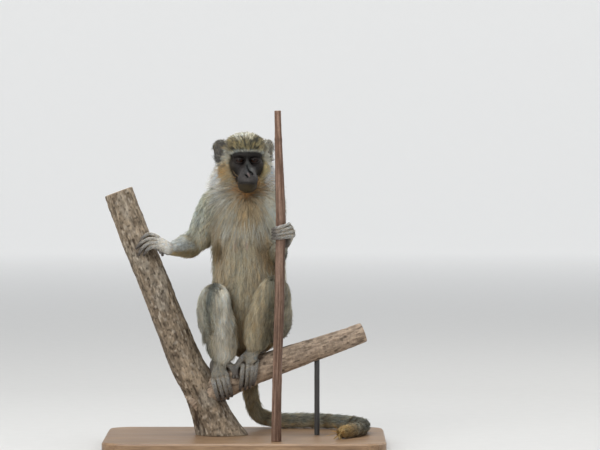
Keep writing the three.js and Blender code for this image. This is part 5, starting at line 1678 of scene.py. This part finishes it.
def wood_rings(s_, ang):
    r_ = np.stack([s_ * 9 + 0.2 * np.cos(ang * 2), np.zeros(len(s_)), np.zeros(len(s_))], 1)
    ring = 0.5 + 0.5 * np.sin(r_[:, 0] * 6.0)
    c = mix(rgb(0.47, 0.35, 0.22), rgb(0.33, 0.225, 0.13), ring)
    return mix(c, rgb(0.12, 0.075, 0.045), step(s_, 0.9, 1.0))


trunk = add("trunk_bark", perch_mesh("trunk_bark", PERCH["perch_trunk"], 140, 1.5, trunk_relief, trunk_colour, wood_rings, cut=18.35), wood_material("bark_grey", depth=0.0005))
branch = add("branch_bark", perch_mesh("branch_bark", PERCH["perch_branch"], 110, 1.5, branch_relief, branch_colour, wood_rings), wood_material("bark_brown", depth=0.0004))
stem = add("stem_bark", perch_mesh("stem_bark", PERCH["perch_stem"], 56, 1.2, stem_relief, stem_colour, wood_rings, cut=18.35), wood_material("stem_red", rough=0.6, fine=1200, depth=0.0002))
print("perch made", round(time.time() - T0, 1))

# ------------------------------------------------------------------ the stand keeps its CAD shape
for cad, mat in (("stand_base", board_material()), ("stand_rod", steel_material())):
    o = nodes_[cad]
    while len(o.material_slots) < 1:
        o.data.materials.append(mat)
    for slot_ in o.material_slots:
        slot_.material = mat

# ------------------------------------------------------------------ what rides, and what it replaces
flesh = [n_ for n_ in nodes_ if not n_.startswith(("perch_", "stand_", "eye_"))]
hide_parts(*flesh)
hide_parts("eye_right")
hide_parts("eye_left")
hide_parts("perch_trunk")
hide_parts("perch_branch")
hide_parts("perch_stem")
for o in [skin, nails, trunk, branch, stem, *eyes.values(), *coats]:
    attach(o, "root")
for o in coats:
    "coat_olive" if "back" in o.name or "crown" in o.name else "coat_gold" if "tail" in o.name else "coat_grey" if "arm" in o.name or "leg" in o.name else "coat_pale"

# ------------------------------------------------------------------ stage, light and camera
def backdrop():
    """A round floor, wide enough for a camera anywhere round the model, that curves up into a low rim."""
    prof = [(0.0, 0.0), (3.0, 0.0), (5.0, 0.0), (7.0, 0.0)] + [(7.0 + 1.6 * math.sin(a), 1.6 - 1.6 * math.cos(a)) for a in np.linspace(0, math.pi / 2, 13)[1:]] + [(8.6, 3.0)]
    m_ = 72
    turn = np.arange(m_) / m_ * 2 * math.pi
    V_ = [[0.0, 0.0, 0.0]] + [[r_ * math.cos(t_), r_ * math.sin(t_), z_] for r_, z_ in prof[1:] for t_ in turn]
    F = []
    for i in range(m_):
        k = (i + 1) % m_
        F.append([0, 1 + i, 1 + k])
        for j in range(len(prof) - 2):
            a, b = 1 + j * m_, 1 + (j + 1) * m_
            F += [[a + i, b + i, b + k], [a + i, b + k, a + k]]
    return mesh_of("floor", np.array(V_), np.array(F))


m, nodes, links, b = material("floor_paint", 0.8, 0.2)
f = noise_node(nodes, links, stretch(nodes, links, (1, 1, 1)), 40, 3.0)
r = nodes.new("ShaderNodeValToRGB")
r.color_ramp.elements[0].color = (0.60, 0.59, 0.57, 1)
r.color_ramp.elements[1].color = (0.64, 0.63, 0.61, 1)
links.new(f, r.inputs[0])
links.new(r.outputs[0], b.inputs["Base Color"])
# the rim and the far floor are lit evenly, as by lamps of their own
away = nodes.new("ShaderNodeVectorMath")
away.operation = "LENGTH"
links.new(stretch(nodes, links, (1, 1, 1)), away.inputs[0])
glow = remap(nodes, links, away.outputs["Value"], 1.2, 7.0, 0.0, 0.42)
b.inputs["Emission Color"].default_value = (0.97, 0.985, 1.0, 1)
links.new(glow, b.inputs["Emission Strength"])
floor = add("floor", backdrop(), m)


def area_light(name, place, target, size, watts, colour):
    l = bpy.data.lights.new(name, "AREA")
    l.shape, l.size, l.energy, l.color = "DISK", size, watts, colour
    o = bpy.data.objects.new(name, l)
    bpy.context.scene.collection.objects.link(o)
    o.location = place
    o.rotation_euler = (Vector(target) - Vector(place)).to_track_quat("-Z", "Y").to_euler()
    return o


area_light("sky", (-0.3, -0.6, 3.3), (0, 0, 0.3), 3.0, 95, (0.97, 0.985, 1.0))
area_light("front", (-1.6, -3.2, 1.9), (0, 0, 0.3), 2.4, 62, (1.0, 0.985, 0.96))
area_light("rim", (1.8, 1.4, 2.0), (0, 0, 0.35), 1.4, 16, (1.0, 0.98, 0.95))
world = bpy.data.worlds.new("studio")
world.use_nodes = True
world.node_tree.nodes["Background"].inputs["Color"].default_value = (0.86, 0.9, 0.95, 1)
world.node_tree.nodes["Background"].inputs["Strength"].default_value = 0.42
bpy.context.scene.world = world

cam_data = bpy.data.cameras.new("camera")
cam_data.lens, cam_data.sensor_width = 240.0, 36.0
cam = bpy.data.objects.new("camera", cam_data)
bpy.context.scene.collection.objects.link(cam)
target = Vector((0.0825, 0.0, 0.334))
tilt = math.radians(2.0)
cam.location = target + Vector((0, -math.cos(tilt), math.sin(tilt))) * 6.0
cam.rotation_euler = (target - cam.location).to_track_quat("-Z", "Y").to_euler()
bpy.context.scene.camera = cam
bpy.context.scene.view_settings.view_transform = "Standard"

bpy.context.view_layer.update()
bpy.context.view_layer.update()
print("all made", round(time.time() - T0, 1))
